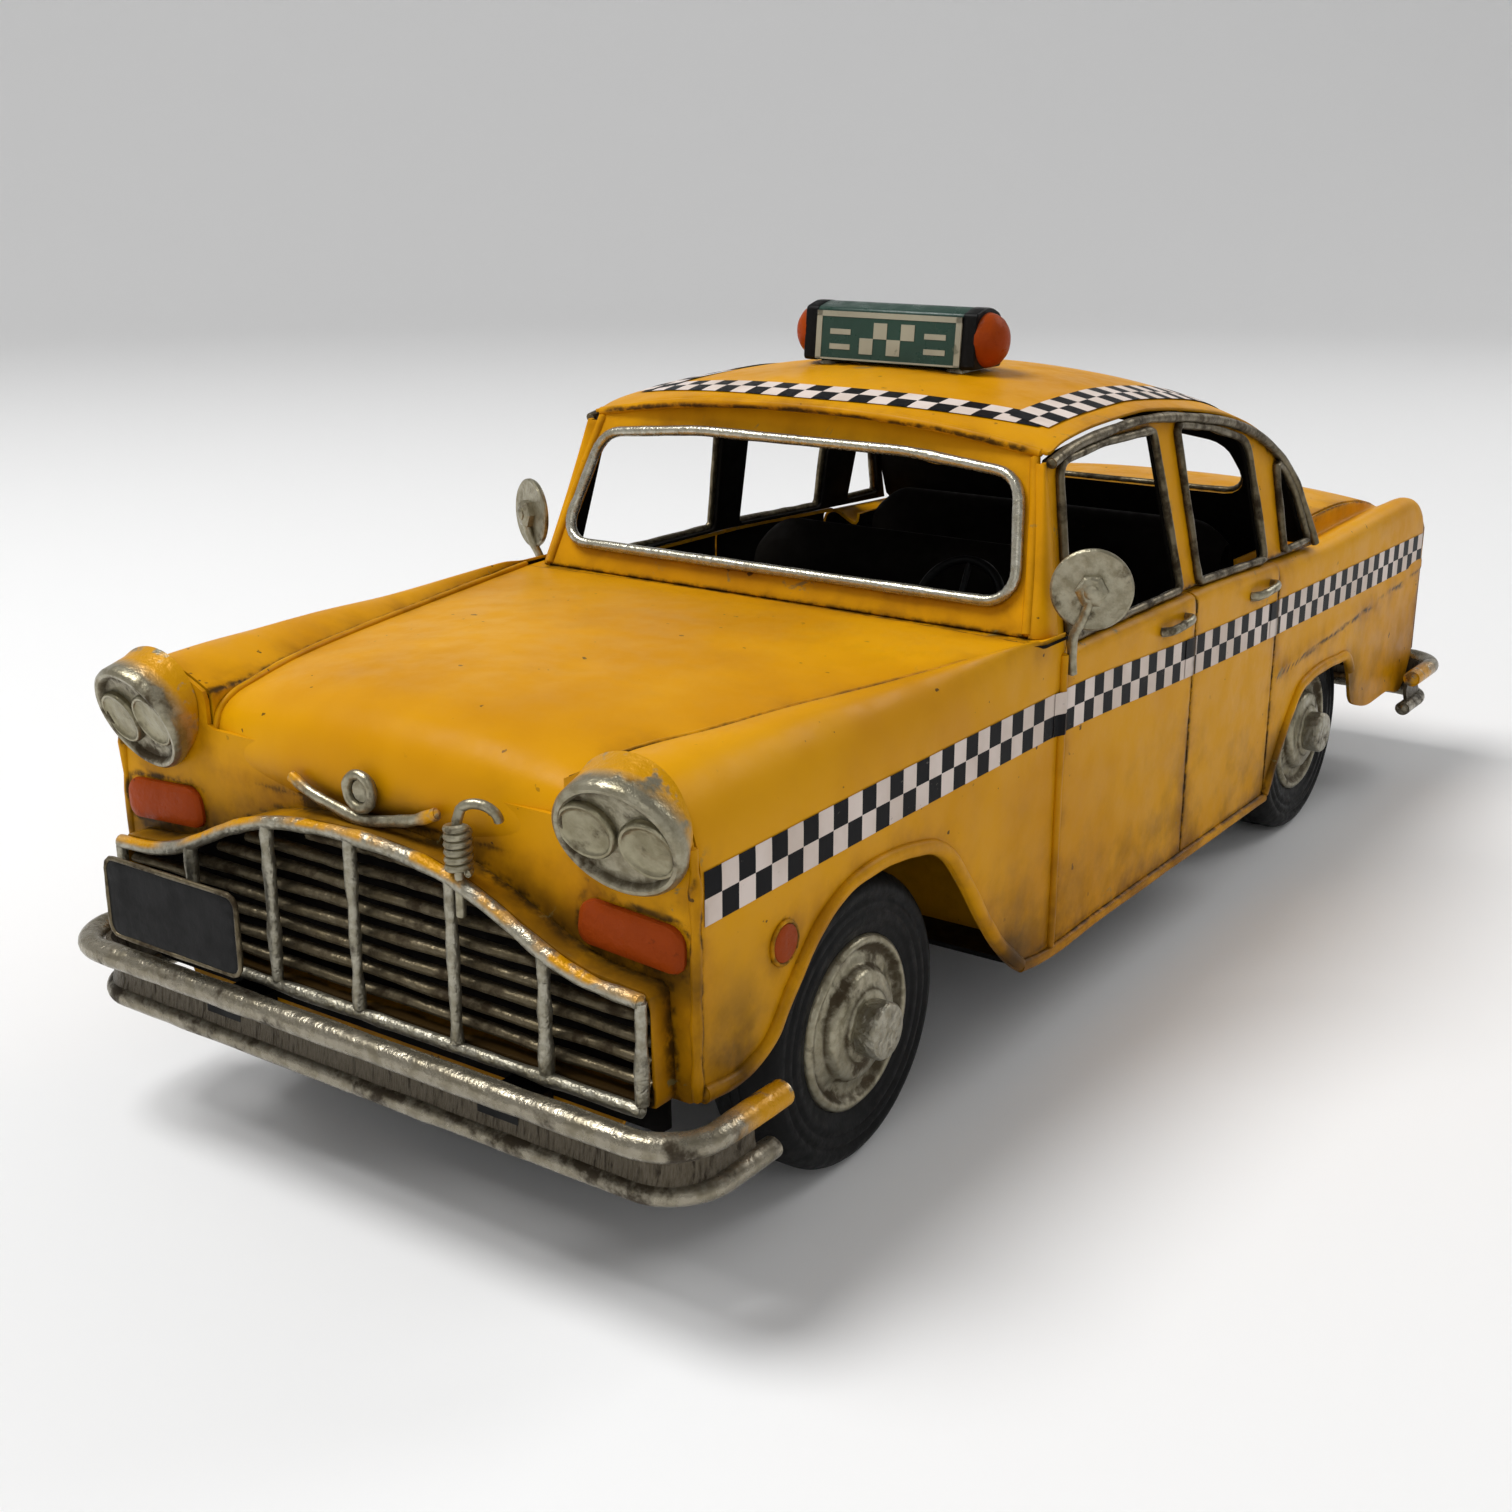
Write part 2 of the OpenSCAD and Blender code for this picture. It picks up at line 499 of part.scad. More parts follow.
// ---- mirrors, handles and roof sign ----
mirror_at = [64.6, -50, 87];
module mirror_arm() {
    color(SILVER) {
        translate(mirror_at) rotate([90, 0, 24]) cylinder(r = 7.3, h = 1);
        translate(mirror_at) rotate([90, 0, 24]) translate([0, 0, 1]) cylinder(r = 2.9, h = 2,
            $fn = 6);
        wire([mirror_at + [0.9, -2, -1], mirror_at + [-0.6, -1.8, -5],
            mirror_at + [-2.4, -1.4, -8.5], mirror_at + [-3, -0.4, -11.5],
            mirror_at + [-3.1, 0.4, -15.8]], 0.8, [0, 1, 0], false, 8);
    }
}
module mirror_left() { mirror_arm(); }
module mirror_right() { mirror([1, 0, 0]) mirror_arm(); }
module door_handles() {
    color(SILVER) both_sides() for (p = [[-3.4, 71.2], [43.6, 69.6]]) {
        wire([[side_x + 0.75, p[0] - 5.2, p[1] - 0.6], [side_x + 2.1, p[0] - 4.4, p[1] - 0.4],
            [side_x + 2.4, p[0], p[1]], [side_x + 2.1, p[0] + 5.4, p[1] + 0.2],
            [side_x + 0.75, p[0] + 6, p[1] + 0.2]], 0.7, [0, 0, 1], false, 6);
    }
}
sign_y = -8.6;
sign_z = 116.2;
module sign_section() {
    polygon(rounded([[sign_y - 6, sign_z + 2.4, 0.8], [sign_y + 6, sign_z + 2.4, 0.8],
        [sign_y + 6, sign_z + 12.6, 3], [sign_y + 0.5, sign_z + 14.8, 8],
        [sign_y - 4.9, sign_z + 13.3, 1]]));
}
module sign_body() { color(GREEN) along_x(-17, 17) sign_section(); }
module sign_caps() { color(BLACK) both_sides() along_x(17.1, 20) sign_section(); }
module sign_lamps() {
    color(RED) both_sides() translate([20.1, sign_y, sign_z + 8]) intersection() {
        translate([-1.9, 0, 0]) sphere(r = 5.7);
        translate([0, -6, -6]) cube([8, 12, 12]);
    }
}
module sign_feet() {
    color(SILVER) both_sides() translate([15, sign_y, 0])
        translate([-1.5, -4, sign_z + 2]) cube([3, 7, 0.35]);
}

// ---- cabin ----
// A bench pressed from one folded sheet: outline points are [place, height].
module folded(path, half_w) {
    back = inset_line(path, 0.9);
    along_x(-half_w, half_w)
        polygon(concat(path, [for (k = [len(path) - 1:-1:0]) back[k]]));
}
module front_seat() {
    color(BLACK) folded([[13.5, floor_z + floor_t + 0.1], [13.2, 40], [12.6, 76], [11.4, 79],
        [9, 80], [7, 78.6], [1, 49], [-1.5, 45.6], [-5, 45], [-15, 46.6], [-18.6, 45.4],
        [-20, 42], [-20, floor_z + floor_t + 0.1]], 46);
}
module rear_seat() {
    color(BLACK) folded([[63, 60], [63.4, 76], [62.4, 79], [60, 80], [58, 78.6], [52.6, 58],
        [50, 55], [46, 54.4], [33, 56], [29.4, 55], [28, 52], [28, floor_z + floor_t + 0.1]], 46);
}
module dashboard() {
    color(BLACK) folded([[-38.6, 62], [-37, 64], [-37, 72], [-39, 76.4], [-44, 79],
        [-50.1, 79.9]], 52);
}
module steering_wheel() {
    color(BLACK) translate([26, -28, 75]) rotate([62, 0, 0]) {
        rotate_extrude() translate([9.2, 0]) circle(r = 0.9, $fn = 16);
        for (a = [90, 210, 330]) rotate([0, 0, a]) translate([1.2, 0, 0]) rotate([0, 90, 0])
            cylinder(r = 0.6, h = 7.6, $fn = 16);
        cylinder(r = 1.8, h = 2.4, center = true, $fn = 24);
        translate([0, 0, -10.4]) cylinder(r = 0.9, h = 10, $fn = 24);
    }
}

// ---- running gear ----
module ear(y) {
    difference() {
        along_x(31, 33) polygon([[y - 5, floor_z + floor_t], [y + 5, floor_z + floor_t],
            [y + 3.4, axle_z + 4], [y - 3.4, axle_z + 4]]);
        spin_x_at(30, 34, axle_r + run_fit, y, axle_z);
    }
}
module axle_brackets() {
    color(STEEL) both_sides() {
        ear(front_axle_y);
        ear(rear_axle_y);
    }
}
module axle(y) {
    color(STEEL) translate([0, y, axle_z]) {
        spin_x(-57.9, 57.9, axle_r);
        both_sides() {
            spin_x(57.9, 61.6, 4.8);
            spin_x(33.4, 35, 3);
        }
    }
}
// Pressed wheel disc on a turned sleeve: radius and distance from the middle of its face.
hub_face = [[14.9, 52.4], [14.9, 55.4], [13.7, 56.1], [12.4, 54.8], [9.6, 55.2], [8.8, 56.8],
    [6.2, 57.3], [5.4, 57.8]];
module hubs(y) {
    inner_x = tyre_face_x - tyre_w - 4;
    back = [for (k = [len(hub_face) - 1:-1:1]) hub_face[k] - [1, 1.1]];
    color(SILVER) translate([0, y, axle_z]) both_sides() rotate([0, 90, 0]) rotate_extrude()
        polygon(concat([[axle_r + 0.01, inner_x]], [[3.2, inner_x]], [[3.2, 56.7]], back,
            [[13.9, tyre_face_x - tyre_w + 2], [14.9, tyre_face_x - tyre_w + 2]], hub_face,
            [[axle_r + 0.01, 57.8]]));
}
module tyres(y) {
    x0 = tyre_face_x - tyre_w;
    color(BLACK) translate([0, y, axle_z]) both_sides() rotate([0, 90, 0]) rotate_extrude()
        polygon(concat([[15, x0 + 1]], [[17, x0], [22.5, x0 + 0.6], [tyre_r - 0.5, x0 + 2.2],
            [tyre_r, x0 + 4], [tyre_r, tyre_face_x - 3.4], [tyre_r - 0.5, tyre_face_x - 1.6],
            [tyre_r - 1.6, tyre_face_x - 0.5], [21.6, tyre_face_x], [20.4, tyre_face_x - 0.5],
            [19.4, tyre_face_x], [17.2, tyre_face_x - 0.1], [15, tyre_face_x - 0.9]]));
}
module front_axle() { axle(front_axle_y); }
module front_hubs() { hubs(front_axle_y); }
module front_tyres() { tyres(front_axle_y); }
module rear_axle() { axle(rear_axle_y); }
module rear_hubs() { hubs(rear_axle_y); }
module rear_tyres() { tyres(rear_axle_y); }

// ---- friction motor on the rear axle ----
pressure = 25;
flank_play = 0.07;
gear_span = gear_module * (gear_teeth + pinion_teeth) / 2;
idler_dir = 140;
fly_dir = 150;
idler_at = [rear_axle_y + gear_span * cos(idler_dir), axle_z + gear_span * sin(idler_dir)];
fly_at = idler_at + gear_span * [cos(fly_dir), sin(fly_dir)];
function involute(base, r) = let (t = sqrt(pow(r / base, 2) - 1)) t * 180 / PI - atan(t);
function tooth(n, play) = let (pr = gear_module * n / 2, base = pr * cos(pressure),
    tip = pr + 0.92 * gear_module, low = max(base, pr - 1.12 * gear_module),
    half = 90 / n - (play / pr) * 90 / PI + involute(base, pr))
    concat([[pr - 1.2 * gear_module, half - involute(base, low) + 0.4]],
        [for (k = [0:4]) let (r = low + (tip - low) * k / 4) [r, half - involute(base, r)]]);
// Gear in the plane across the axle; the first tooth points along turn.
module gear(n, turn) {
    t = tooth(n, flank_play);
    polygon([for (k = [0:n - 1]) each concat(
        [for (p = t) p[0] * [cos(turn + 360 * k / n - p[1]), sin(turn + 360 * k / n - p[1])]],
        [for (i = [len(t) - 1:-1:0]) let (p = t[i])
            p[0] * [cos(turn + 360 * k / n + p[1]), sin(turn + 360 * k / n + p[1])]])]);
}
module gear_at(x0, x1, p, n, turn, bore) {
    difference() {
        translate([0, p[0], p[1]]) along_x(x0, x1) gear(n, turn);
        if (bore > 0) spin_x_at(x0 - 1, x1 + 1, bore, p[0], p[1]);
    }
}
module motor_frame() {
    color(STEEL) for (x = [-12, 6]) difference() {
        along_x(x, x + 1) polygon([[fly_at[0] - 4, floor_z + floor_t],
            [rear_axle_y + 6, floor_z + floor_t], [rear_axle_y + 5, axle_z + 4],
            [fly_at[0] + 4, fly_at[1] + 4], [fly_at[0] - 4, fly_at[1] + 4]]);
        spin_x_at(x - 1, x + 2, axle_r + run_fit, rear_axle_y, axle_z);
        spin_x_at(x - 1, x + 2, shaft_r + run_fit, idler_at[0], idler_at[1]);
        spin_x_at(x - 1, x + 2, shaft_r + run_fit, fly_at[0], fly_at[1]);
    }
}
shaft_r = 1.1;
module drive_gear() {
    color("goldenrod") gear_at(-9, -7, [rear_axle_y, axle_z], gear_teeth, idler_dir,
        axle_r + 0.01);
}
module idler_gear() {
    color("goldenrod") {
        gear_at(-9.5, -6.5, idler_at, pinion_teeth, idler_dir + 180 + 180 / pinion_teeth, 0);
        gear_at(0, 2, idler_at, gear_teeth, fly_dir, 0);
        spin_x_at(-11.8, -9.5, shaft_r, idler_at[0], idler_at[1]);
        spin_x_at(-6.5, 0, 1.8, idler_at[0], idler_at[1]);
        spin_x_at(2, 6.8, shaft_r, idler_at[0], idler_at[1]);
    }
}
module flywheel() {
    color(STEEL) {
        gear_at(-0.5, 2.5, fly_at, pinion_teeth, fly_dir + 180 + 180 / pinion_teeth, 0);
        spin_x_at(-11.8, -0.5, shaft_r, fly_at[0], fly_at[1]);
        spin_x_at(2.5, 8, shaft_r, fly_at[0], fly_at[1]);
        spin_x_at(8, 14, flywheel_r, fly_at[0], fly_at[1]);
    }
}

floor_pan();
hood();
front_fender_left();
front_fender_right();
nose_panel();
cowl_panel();
windscreen_frame();
windscreen_trim();
roof_panel();
side_frame_left();
side_frame_right();
window_trim_left();
window_trim_right();
rear_window_frame();
front_door_left();
front_door_right();
rear_door_left();
rear_door_right();
rear_quarter_left();
rear_quarter_right();
trunk_lid();
rear_panel();
arch_beads();
rocker_beads();
grille_surround();
grille_slats();
grille_bars();
coil_hook();
hood_emblem();
headlight_bezels();
headlight_lenses();
indicators();
side_markers();
tail_lamps();
front_bumper();
rear_bumper();
bumper_brackets();
number_plate();
mirror_left();
mirror_right();
door_handles();
sign_body();
sign_caps();
sign_lamps();
sign_feet();
front_seat();
rear_seat();
dashboard();
steering_wheel();
axle_brackets();
front_axle();
front_hubs();
front_tyres();
rear_axle();
rear_hubs();
rear_tyres();
motor_frame();
drive_gear();
idler_gear();
flywheel();
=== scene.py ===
import bisect
from math import acos, atan2, cos, exp, pi, radians, sin, tan

import bmesh
import bpy
import numpy as np
from mathutils import Matrix, Vector, kdtree


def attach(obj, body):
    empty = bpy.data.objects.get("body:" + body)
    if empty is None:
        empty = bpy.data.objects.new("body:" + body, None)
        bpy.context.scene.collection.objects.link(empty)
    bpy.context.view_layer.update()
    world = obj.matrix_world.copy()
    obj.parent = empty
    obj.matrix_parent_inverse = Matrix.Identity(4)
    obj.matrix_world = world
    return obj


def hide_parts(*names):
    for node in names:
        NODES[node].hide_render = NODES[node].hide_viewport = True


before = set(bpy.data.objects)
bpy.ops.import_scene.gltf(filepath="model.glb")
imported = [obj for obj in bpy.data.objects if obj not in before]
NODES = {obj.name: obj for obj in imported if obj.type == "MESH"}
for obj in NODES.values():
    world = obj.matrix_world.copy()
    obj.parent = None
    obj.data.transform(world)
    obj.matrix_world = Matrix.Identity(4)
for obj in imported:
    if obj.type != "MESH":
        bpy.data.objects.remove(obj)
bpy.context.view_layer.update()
MM = 0.001
RNG = np.random.default_rng(7)

# ---------------------------------------------------------------- shared values, mm
SIDE_X = 60.6
SHEET = 0.8
ROCKER_Z = 17.8
DOOR_FRONT, DOOR_MID, DOOR_REAR = -50.6, 8.5, 55.4
SEAM_GAP = 0.25
AXLE_Z = 25.0
FRONT_AXLE_Y, REAR_AXLE_Y = -110.4, 92.8
GRILLE_Y = -166.0
SQUARE = 4.0
DECAL_LIFT = 0.14
ACROSS, ALONG, UP = [1, 0, 0], [0, 1, 0], [0, 0, 1]
TILT = radians(10.85)
WAIST_X, WAIST_Z = SIDE_X - 2.1, 73
SCREEN_LEAN = radians(21.6)
BACK_Y, BACK_Z = 81.2, 73.6
BACK_LEAN = atan2(19.2, 33.8)
LAMP, LAMP_SQUASH = [50.4, -164.4, 71.3], 0.9
MARKER_Y, MARKER_Z = -139.2, 50.4
TAIL_LAMPS = ((55, 58), (55, 49.6))
HANDLES = ((-3.4, 71.2), (43.6, 69.6))
NOSE_Y, TAIL_Y, ROOF_FRONT = -160.2, 163.5, -46.4
SIGN_Y, SIGN_Z = -8.6, 116.2
SIDE_PRINT_Y, ROOF_PRINT_Y = -158.4, -35.4

FRONT_ARCH = [[-159, 33], [-150.3, 32.5], [-142.7, 35], [-136.3, 42], [-128.3, 49.6], [-122, 52.4],
    [-115, 53.3], [-102.1, 52.3], [-96, 50.8], [-92.2, 48.6], [-86.8, 42.8], [-79.1, 33], [-73.1, 26.2],
    [-64.2, 18.8], [-62.2, ROCKER_Z], [DOOR_FRONT, ROCKER_Z]]
REAR_ARCH = [[DOOR_REAR, ROCKER_Z], [57, 18.6], [62.2, 25.9], [69.8, 34.9], [75.2, 39.4], [80, 40.4],
    [100, 40.6], [106.5, 39.9], [110, 36], [113.5, 28.4], [117, 26.4], [130.4, 23.6], [142.5, 23.8],
    [154, 21.5], [158, 23.5], [162.5, 31]]
SILL = [[-49, 75.3], [10, 75.2], [55, 73.6], [90, 72.6]]
DRIP = [[-44.5, 108.6], [-38.6, 109.9], [-21.5, 111.5], [-3.6, 111.9], [5.6, 111.3], [24.9, 109],
    [35.3, 107.3], [45.6, 104.8], [57.2, 100.5], [66.5, 94.9], [72.4, 89], [75.4, 84], [77.7, 79.8],
    [80.2, 75]]
FIN = [[DOOR_REAR, 73.2], [86, 72.3], [120, 73.2], [150, 73.9], [157, 73], [161, 70.9], [162.5, 68.5]]
SEAM_X = [[-161, 37.7], [-150, 38.4], [-146, 39.4], [-137, 42.3], [-121, 46], [-100, 50.8], [-80, 55.2],
    [-59, 60]]
SEAM_Z = [[-161, 76.8], [-146, 77.4], [-121, 78], [-51, 78.1]]
SIDE_TOP = [[-161, 65.5], [-121, 66.5], [-90, 69], [-70, 72.5], [-59, 76]]
CROWN_RISE = [[-160, 5.8], [-150, 6], [-135, 5.3], [-121, 4.9], [-100, 3.7], [-80, 3.2], [-66, 2.5],
    [-59, 1.2]]
HOOD_LINE = [[-160.6, 37.3, 63.7, 63.7], [-161.6, 37.3, 67, 67], [-161.2, 37.3, 71, 72],
    [-159.6, 37.4, 74, 76.2], [-156.5, 37.5, 75.6, 78.8], [-151, 38.1, 76.6, 80.4],
    [-144, 39.8, 77.2, 81], [-133, 43, 77.5, 81.2], [-121, 45.7, 77.8, 81.2], [-100, 50.5, 77.9, 80.7],
    [-80, 54.9, 78, 79.9], [-59, 59.6, 78, 78.7]]
ROOF_MIDDLE = [[-47, 113.2], [-46, 114.4], [-43, 115.4], [-36, 116.5], [-20, 117.9], [-5, 118.5],
    [5, 118.4], [15, 117.9], [25, 116.9], [35, 115.4], [44, 113.8], [52, 111.6], [62, 107.8],
    [67, 105.4], [73, 101.8]]
LID_LINE = [[82.8, 73.2, 77.1], [104, 75.6, 79.4], [119, 75.8, 79.6], [134, 74.9, 78.4],
    [146, 73, 75.8], [154, 70.6, 72.4], [159, 66.5, 68], [161.5, 61, 62], [162.4, 50, 50]]
LID_EDGE = [r[:2] for r in LID_LINE]
GRILLE_LOW = 34.2
GRILLE_TOP = [[0, 62.2], [8, 61.9], [16, 61], [22, 59.6], [28, 57.4], [34, 54.6], [40, 52], [46, 50.4],
    [56, 49.7]]
STRIPE_TOP = [[-158, 67.3], [-110, 68.1], [-58, 68.4], [-51, 68.4], [6, 66.2], [54, 65], [164, 63.3]]


# ---------------------------------------------------------------- material helpers
def new_material(name):
    mat = bpy.data.materials.new(name)
    mat.use_nodes = True
    return mat, mat.node_tree, mat.node_tree.nodes["Principled BSDF"]


def feed(tree, node, inputs):
    """A socket given as an input is linked, anything else is set."""
    for key, value in inputs.items():
        if isinstance(value, bpy.types.NodeSocket):
            tree.links.new(value, node.inputs[key])
        else:
            node.inputs[key].default_value = value


def add(tree, kind, inputs=None, **props):
    made = tree.nodes.new("ShaderNode" + kind)
    for key, value in props.items():
        setattr(made, key, value)
    feed(tree, made, inputs or {})
    return made


def place_of(tree, stretch=(1, 1, 1)):
    co = add(tree, "TexCoord")
    return add(tree, "Mapping", {"Vector": co.outputs["Object"], "Scale": stretch}).outputs[0]


def noise(tree, scale, detail=4.0, rough=0.55, stretch=(1, 1, 1), warp=0.0):
    return add(tree, "TexNoise", {"Vector": place_of(tree, stretch), "Scale": scale, "Detail": detail,
        "Roughness": rough, "Distortion": warp}).outputs["Fac"]


def band(tree, value, low, high, out_low=0.0, out_high=1.0):
    return add(tree, "MapRange", {"Value": value, "From Min": low, "From Max": high, "To Min": out_low,
        "To Max": out_high}, interpolation_type="SMOOTHSTEP").outputs["Result"]


def calc(tree, operation, a, b=0.0):
    return add(tree, "Math", {0: a, 1: b}, operation=operation).outputs[0]


def times(tree, a, b):
    return calc(tree, "MULTIPLY", a, b)


def blend(tree, factor, a, b):
    """Colour a turning into colour b."""
    return add(tree, "Mix", {0: factor, 6: a, 7: b}, data_type="RGBA").outputs[2]


def painted_on(tree, name):
    return add(tree, "Attribute", attribute_name=name).outputs["Fac"]


def bump(tree, bsdf, height, strength, distance):
    made = add(tree, "Bump", {"Height": height, "Strength": strength, "Distance": distance})
    feed(tree, bsdf, {"Normal": made.outputs[0]})


def rgb(r, g, b):
    return (r, g, b, 1.0)


def height_of(tree):
    sep = add(tree, "SeparateXYZ", {0: place_of(tree)})
    return sep.outputs["Z"]


def aged_paint(name, light, deep, wash, dark, roughness=0.4, dark_from_height=0.058):
    """Hand-brushed paint with a brown wash in the seams, darker towards the bottom in patches, road
    dirt with painted shade on the nose and grille box floor, flecks and scuffs.
    """
    mat, tree, bsdf = new_material(name)
    seam, halo = painted_on(tree, "seam"), painted_on(tree, "halo")
    broad = noise(tree, 22, 3)
    patchy = noise(tree, 75, 5, 0.6)
    fine = noise(tree, 420, 4, 0.65)
    tone = blend(tree, band(tree, broad, 0.35, 0.68), light, deep)
    tone = blend(tree, times(tree, band(tree, patchy, 0.52, 0.8), 0.12), tone, wash)
    soft = times(tree, halo, band(tree, patchy, 0.3, 0.75, 0.25, 1.0))
    tone = blend(tree, band(tree, soft, 0.1, 0.95, 0.0, 0.8), tone, wash)
    # darker towards the bottom, in patches
    low = times(tree, band(tree, height_of(tree), dark_from_height, 0.022), band(tree, patchy, 0.38, 0.68))
    tone = blend(tree, times(tree, low, 0.36), tone, dark)
    # road dirt, and painted shade on the nose and on the grille box floor
    grime_and_shade = times(tree, painted_on(tree, "grime_and_shade"), band(tree, patchy, 0.25, 0.6, 0.45, 1.0))
    tone = blend(tree, times(tree, grime_and_shade, 0.85), tone, dark)
    line = times(tree, seam, band(tree, fine, 0.28, 0.62, 0.45, 1.0))
    tone = blend(tree, band(tree, line, 0.3, 0.85, 0.0, 0.93), tone, dark)
    scuff = times(tree, band(tree, noise(tree, 130, 6, 0.7, warp=0.6), 0.63, 0.68),
        band(tree, halo, 0.25, 0.7))
    tone = blend(tree, times(tree, scuff, 0.75), tone, rgb(0.17, 0.155, 0.07))
    fleck = times(tree, band(tree, noise(tree, 520, 2, 0.4), 0.735, 0.76),
        band(tree, noise(tree, 40, 2), 0.46, 0.56))
    tone = blend(tree, times(tree, fleck, 0.85), tone, rgb(0.03, 0.02, 0.01))
    rough = band(tree, noise(tree, 160, 4), 0.3, 0.75, roughness - 0.07, roughness + 0.13)
    feed(tree, bsdf, {"Base Color": tone, "Roughness": rough, "Specular IOR Level": 0.08})
    relief = calc(tree, "ADD", times(tree, noise(tree, 85, 3), 1.0),
        times(tree, noise(tree, 900, 3), 0.1))
    bump(tree, bsdf, relief, 0.3, 0.0006)
    return mat


def aged_metal(name, bright, wash, amount, roughness=0.36, grain=520, relief=0.5, stretch=(1, 1, 1)):
    """Silvered tin: bright on the high spots, brown wash in patches and grooves."""
    mat, tree, bsdf = new_material(name)
    # brown wash in seams and hollows, with painted shade on the slat backs and under the upper bumper
    # rail
    groove = calc(tree, "MAXIMUM", painted_on(tree, "seam"), painted_on(tree, "groove"))
    patchy = noise(tree, 150, 6, 0.65, stretch)
    fine = noise(tree, grain, 4, 0.6, stretch)
    cover = calc(tree, "ADD", times(tree, groove, 0.75), band(tree, patchy, 0.66 - 0.3 * amount,
        0.86 - 0.2 * amount, 0.0, 0.95))
    cover = times(tree, cover, band(tree, fine, 0.25, 0.6, 0.55, 1.0))
    cover = band(tree, cover, 0.05, 0.9, 0.0, 0.95)
    grey = blend(tree, band(tree, fine, 0.35, 0.7), bright, rgb(bright[0] * 0.68, bright[1] * 0.66,
        bright[2] * 0.6))
    tone = blend(tree, cover, grey, wash)
    left_paint = times(tree, painted_on(tree, "paint"), band(tree, noise(tree, 210, 4), 0.36, 0.5))
    tone = blend(tree, left_paint, tone, rgb(0.58, 0.27, 0.002))
    metal = band(tree, calc(tree, "MAXIMUM", cover, left_paint), 0.0, 1.0, 0.82, 0.12)
    rough = band(tree, calc(tree, "ADD", cover, fine), 0.2, 1.5, roughness - 0.08, roughness + 0.28)
    feed(tree, bsdf, {"Base Color": tone, "Metallic": metal, "Roughness": rough,
        "Specular IOR Level": 0.15})
    bump(tree, bsdf, calc(tree, "ADD", fine, times(tree, patchy, 0.8)), relief, 0.0005)
    return mat


def dull_paint(name, colour, worn, roughness=0.5, wear=0.68, grain=240, relief=0.3, gloss=0.3):
    """Plain paint with worn specks and faint unevenness."""
    mat, tree, bsdf = new_material(name)
    patchy = noise(tree, grain, 5, 0.6)
    tone = blend(tree, band(tree, noise(tree, 60, 3), 0.3, 0.7), colour,
        rgb(*(0.72 * c for c in colour[:3])))
    worn_at = calc(tree, "ADD", patchy, times(tree, painted_on(tree, "groove"), 0.5))
    tone = blend(tree, band(tree, worn_at, wear, wear + 0.08, 0.0, 0.85), tone, worn)
    rough = band(tree, patchy, 0.3, 0.7, roughness - 0.1, roughness + 0.12)
    feed(tree, bsdf, {"Base Color": tone, "Roughness": rough, "Specular IOR Level": gloss})
    bump(tree, bsdf, patchy, relief, 0.0004)
    return mat


def chequer(name):
    """Two rows of printed squares, laid out in the piece's own flat coordinates."""
    mat, tree, bsdf = new_material(name)
    uv = add(tree, "UVMap", uv_map="flat").outputs[0]
    shift = add(tree, "Mapping", {"Vector": uv, "Location": (0.0, 0.0, 0.5)}).outputs[0]
    ink = rgb(0.006, 0.006, 0.007)
    paper = blend(tree, band(tree, noise(tree, 60, 4), 0.35, 0.7), rgb(0.74, 0.64, 0.58),
        rgb(0.6, 0.5, 0.43))
    dirty = times(tree, painted_on(tree, "seam"), band(tree, noise(tree, 400, 3), 0.3, 0.6, 0.3, 1.0))
    squares = add(tree, "TexChecker", {"Vector": shift, "Scale": 1.0, "Color1": paper,
        "Color2": ink}).outputs["Color"]
    scratch = band(tree, noise(tree, 330, 5, 0.7, (1, 1, 3)), 0.66, 0.7, 0.0, 0.55)
    tone = blend(tree, scratch, squares, rgb(0.16, 0.14, 0.12))
    tone = blend(tree, dirty, tone, rgb(0.07, 0.04, 0.015))
    feed(tree, bsdf, {"Base Color": tone, "Roughness": 0.42, "Specular IOR Level": 0.05})
    bump(tree, bsdf, noise(tree, 350, 4), 0.18, 0.0003)
    return mat


YELLOW = aged_paint("yellow_paint", rgb(0.68, 0.315, 0.0015), rgb(0.56, 0.24, 0.0012),
    rgb(0.27, 0.1, 0.002), rgb(0.032, 0.017, 0.004))
INSIDE = dull_paint("cabin_dark", rgb(0.006, 0.0045, 0.003), rgb(0.028, 0.016, 0.006), 0.75, 0.68,
    gloss=0.08)
TRIM = aged_metal("aged_silver", rgb(0.36, 0.33, 0.24), rgb(0.05, 0.034, 0.016), 0.62)
BRIGHT = aged_metal("bright_silver", rgb(0.5, 0.48, 0.4), rgb(0.1, 0.07, 0.03), 0.35, 0.28, 700, 0.35)
DULL = aged_metal("brown_silver", rgb(0.17, 0.14, 0.088), rgb(0.028, 0.017, 0.006), 0.88, 0.38)
BUMPER = aged_metal("bumper_silver", rgb(0.31, 0.28, 0.215), rgb(0.03, 0.02, 0.01), 0.68, 0.3, 420, 0.6)
BRUSHED = aged_metal("brushed_web", rgb(0.11, 0.093, 0.068), rgb(0.022, 0.015, 0.008), 0.7, 0.42, 420,
    0.6, (9, 3, 1.2))
WELD = aged_metal("weld_silver", rgb(0.4, 0.375, 0.3), rgb(0.045, 0.033, 0.02), 0.55, 0.36, 620, 1.0)
LENS = aged_metal("lens_silver", rgb(0.34, 0.31, 0.21), rgb(0.08, 0.06, 0.03), 0.5, 0.36, 260, 0.55)
LAMP_RED = dull_paint("lamp_red", rgb(0.33, 0.05, 0.005), rgb(0.1, 0.02, 0.004), 0.36, 0.66, 300, 0.8,
    0.06)
BLACK = dull_paint("black_paint", rgb(0.006, 0.006, 0.006), rgb(0.03, 0.026, 0.02), 0.4, 0.7, gloss=0.1)
GREEN = dull_paint("green_face", rgb(0.02, 0.055, 0.04), rgb(0.08, 0.1, 0.07), 0.34, 0.7)
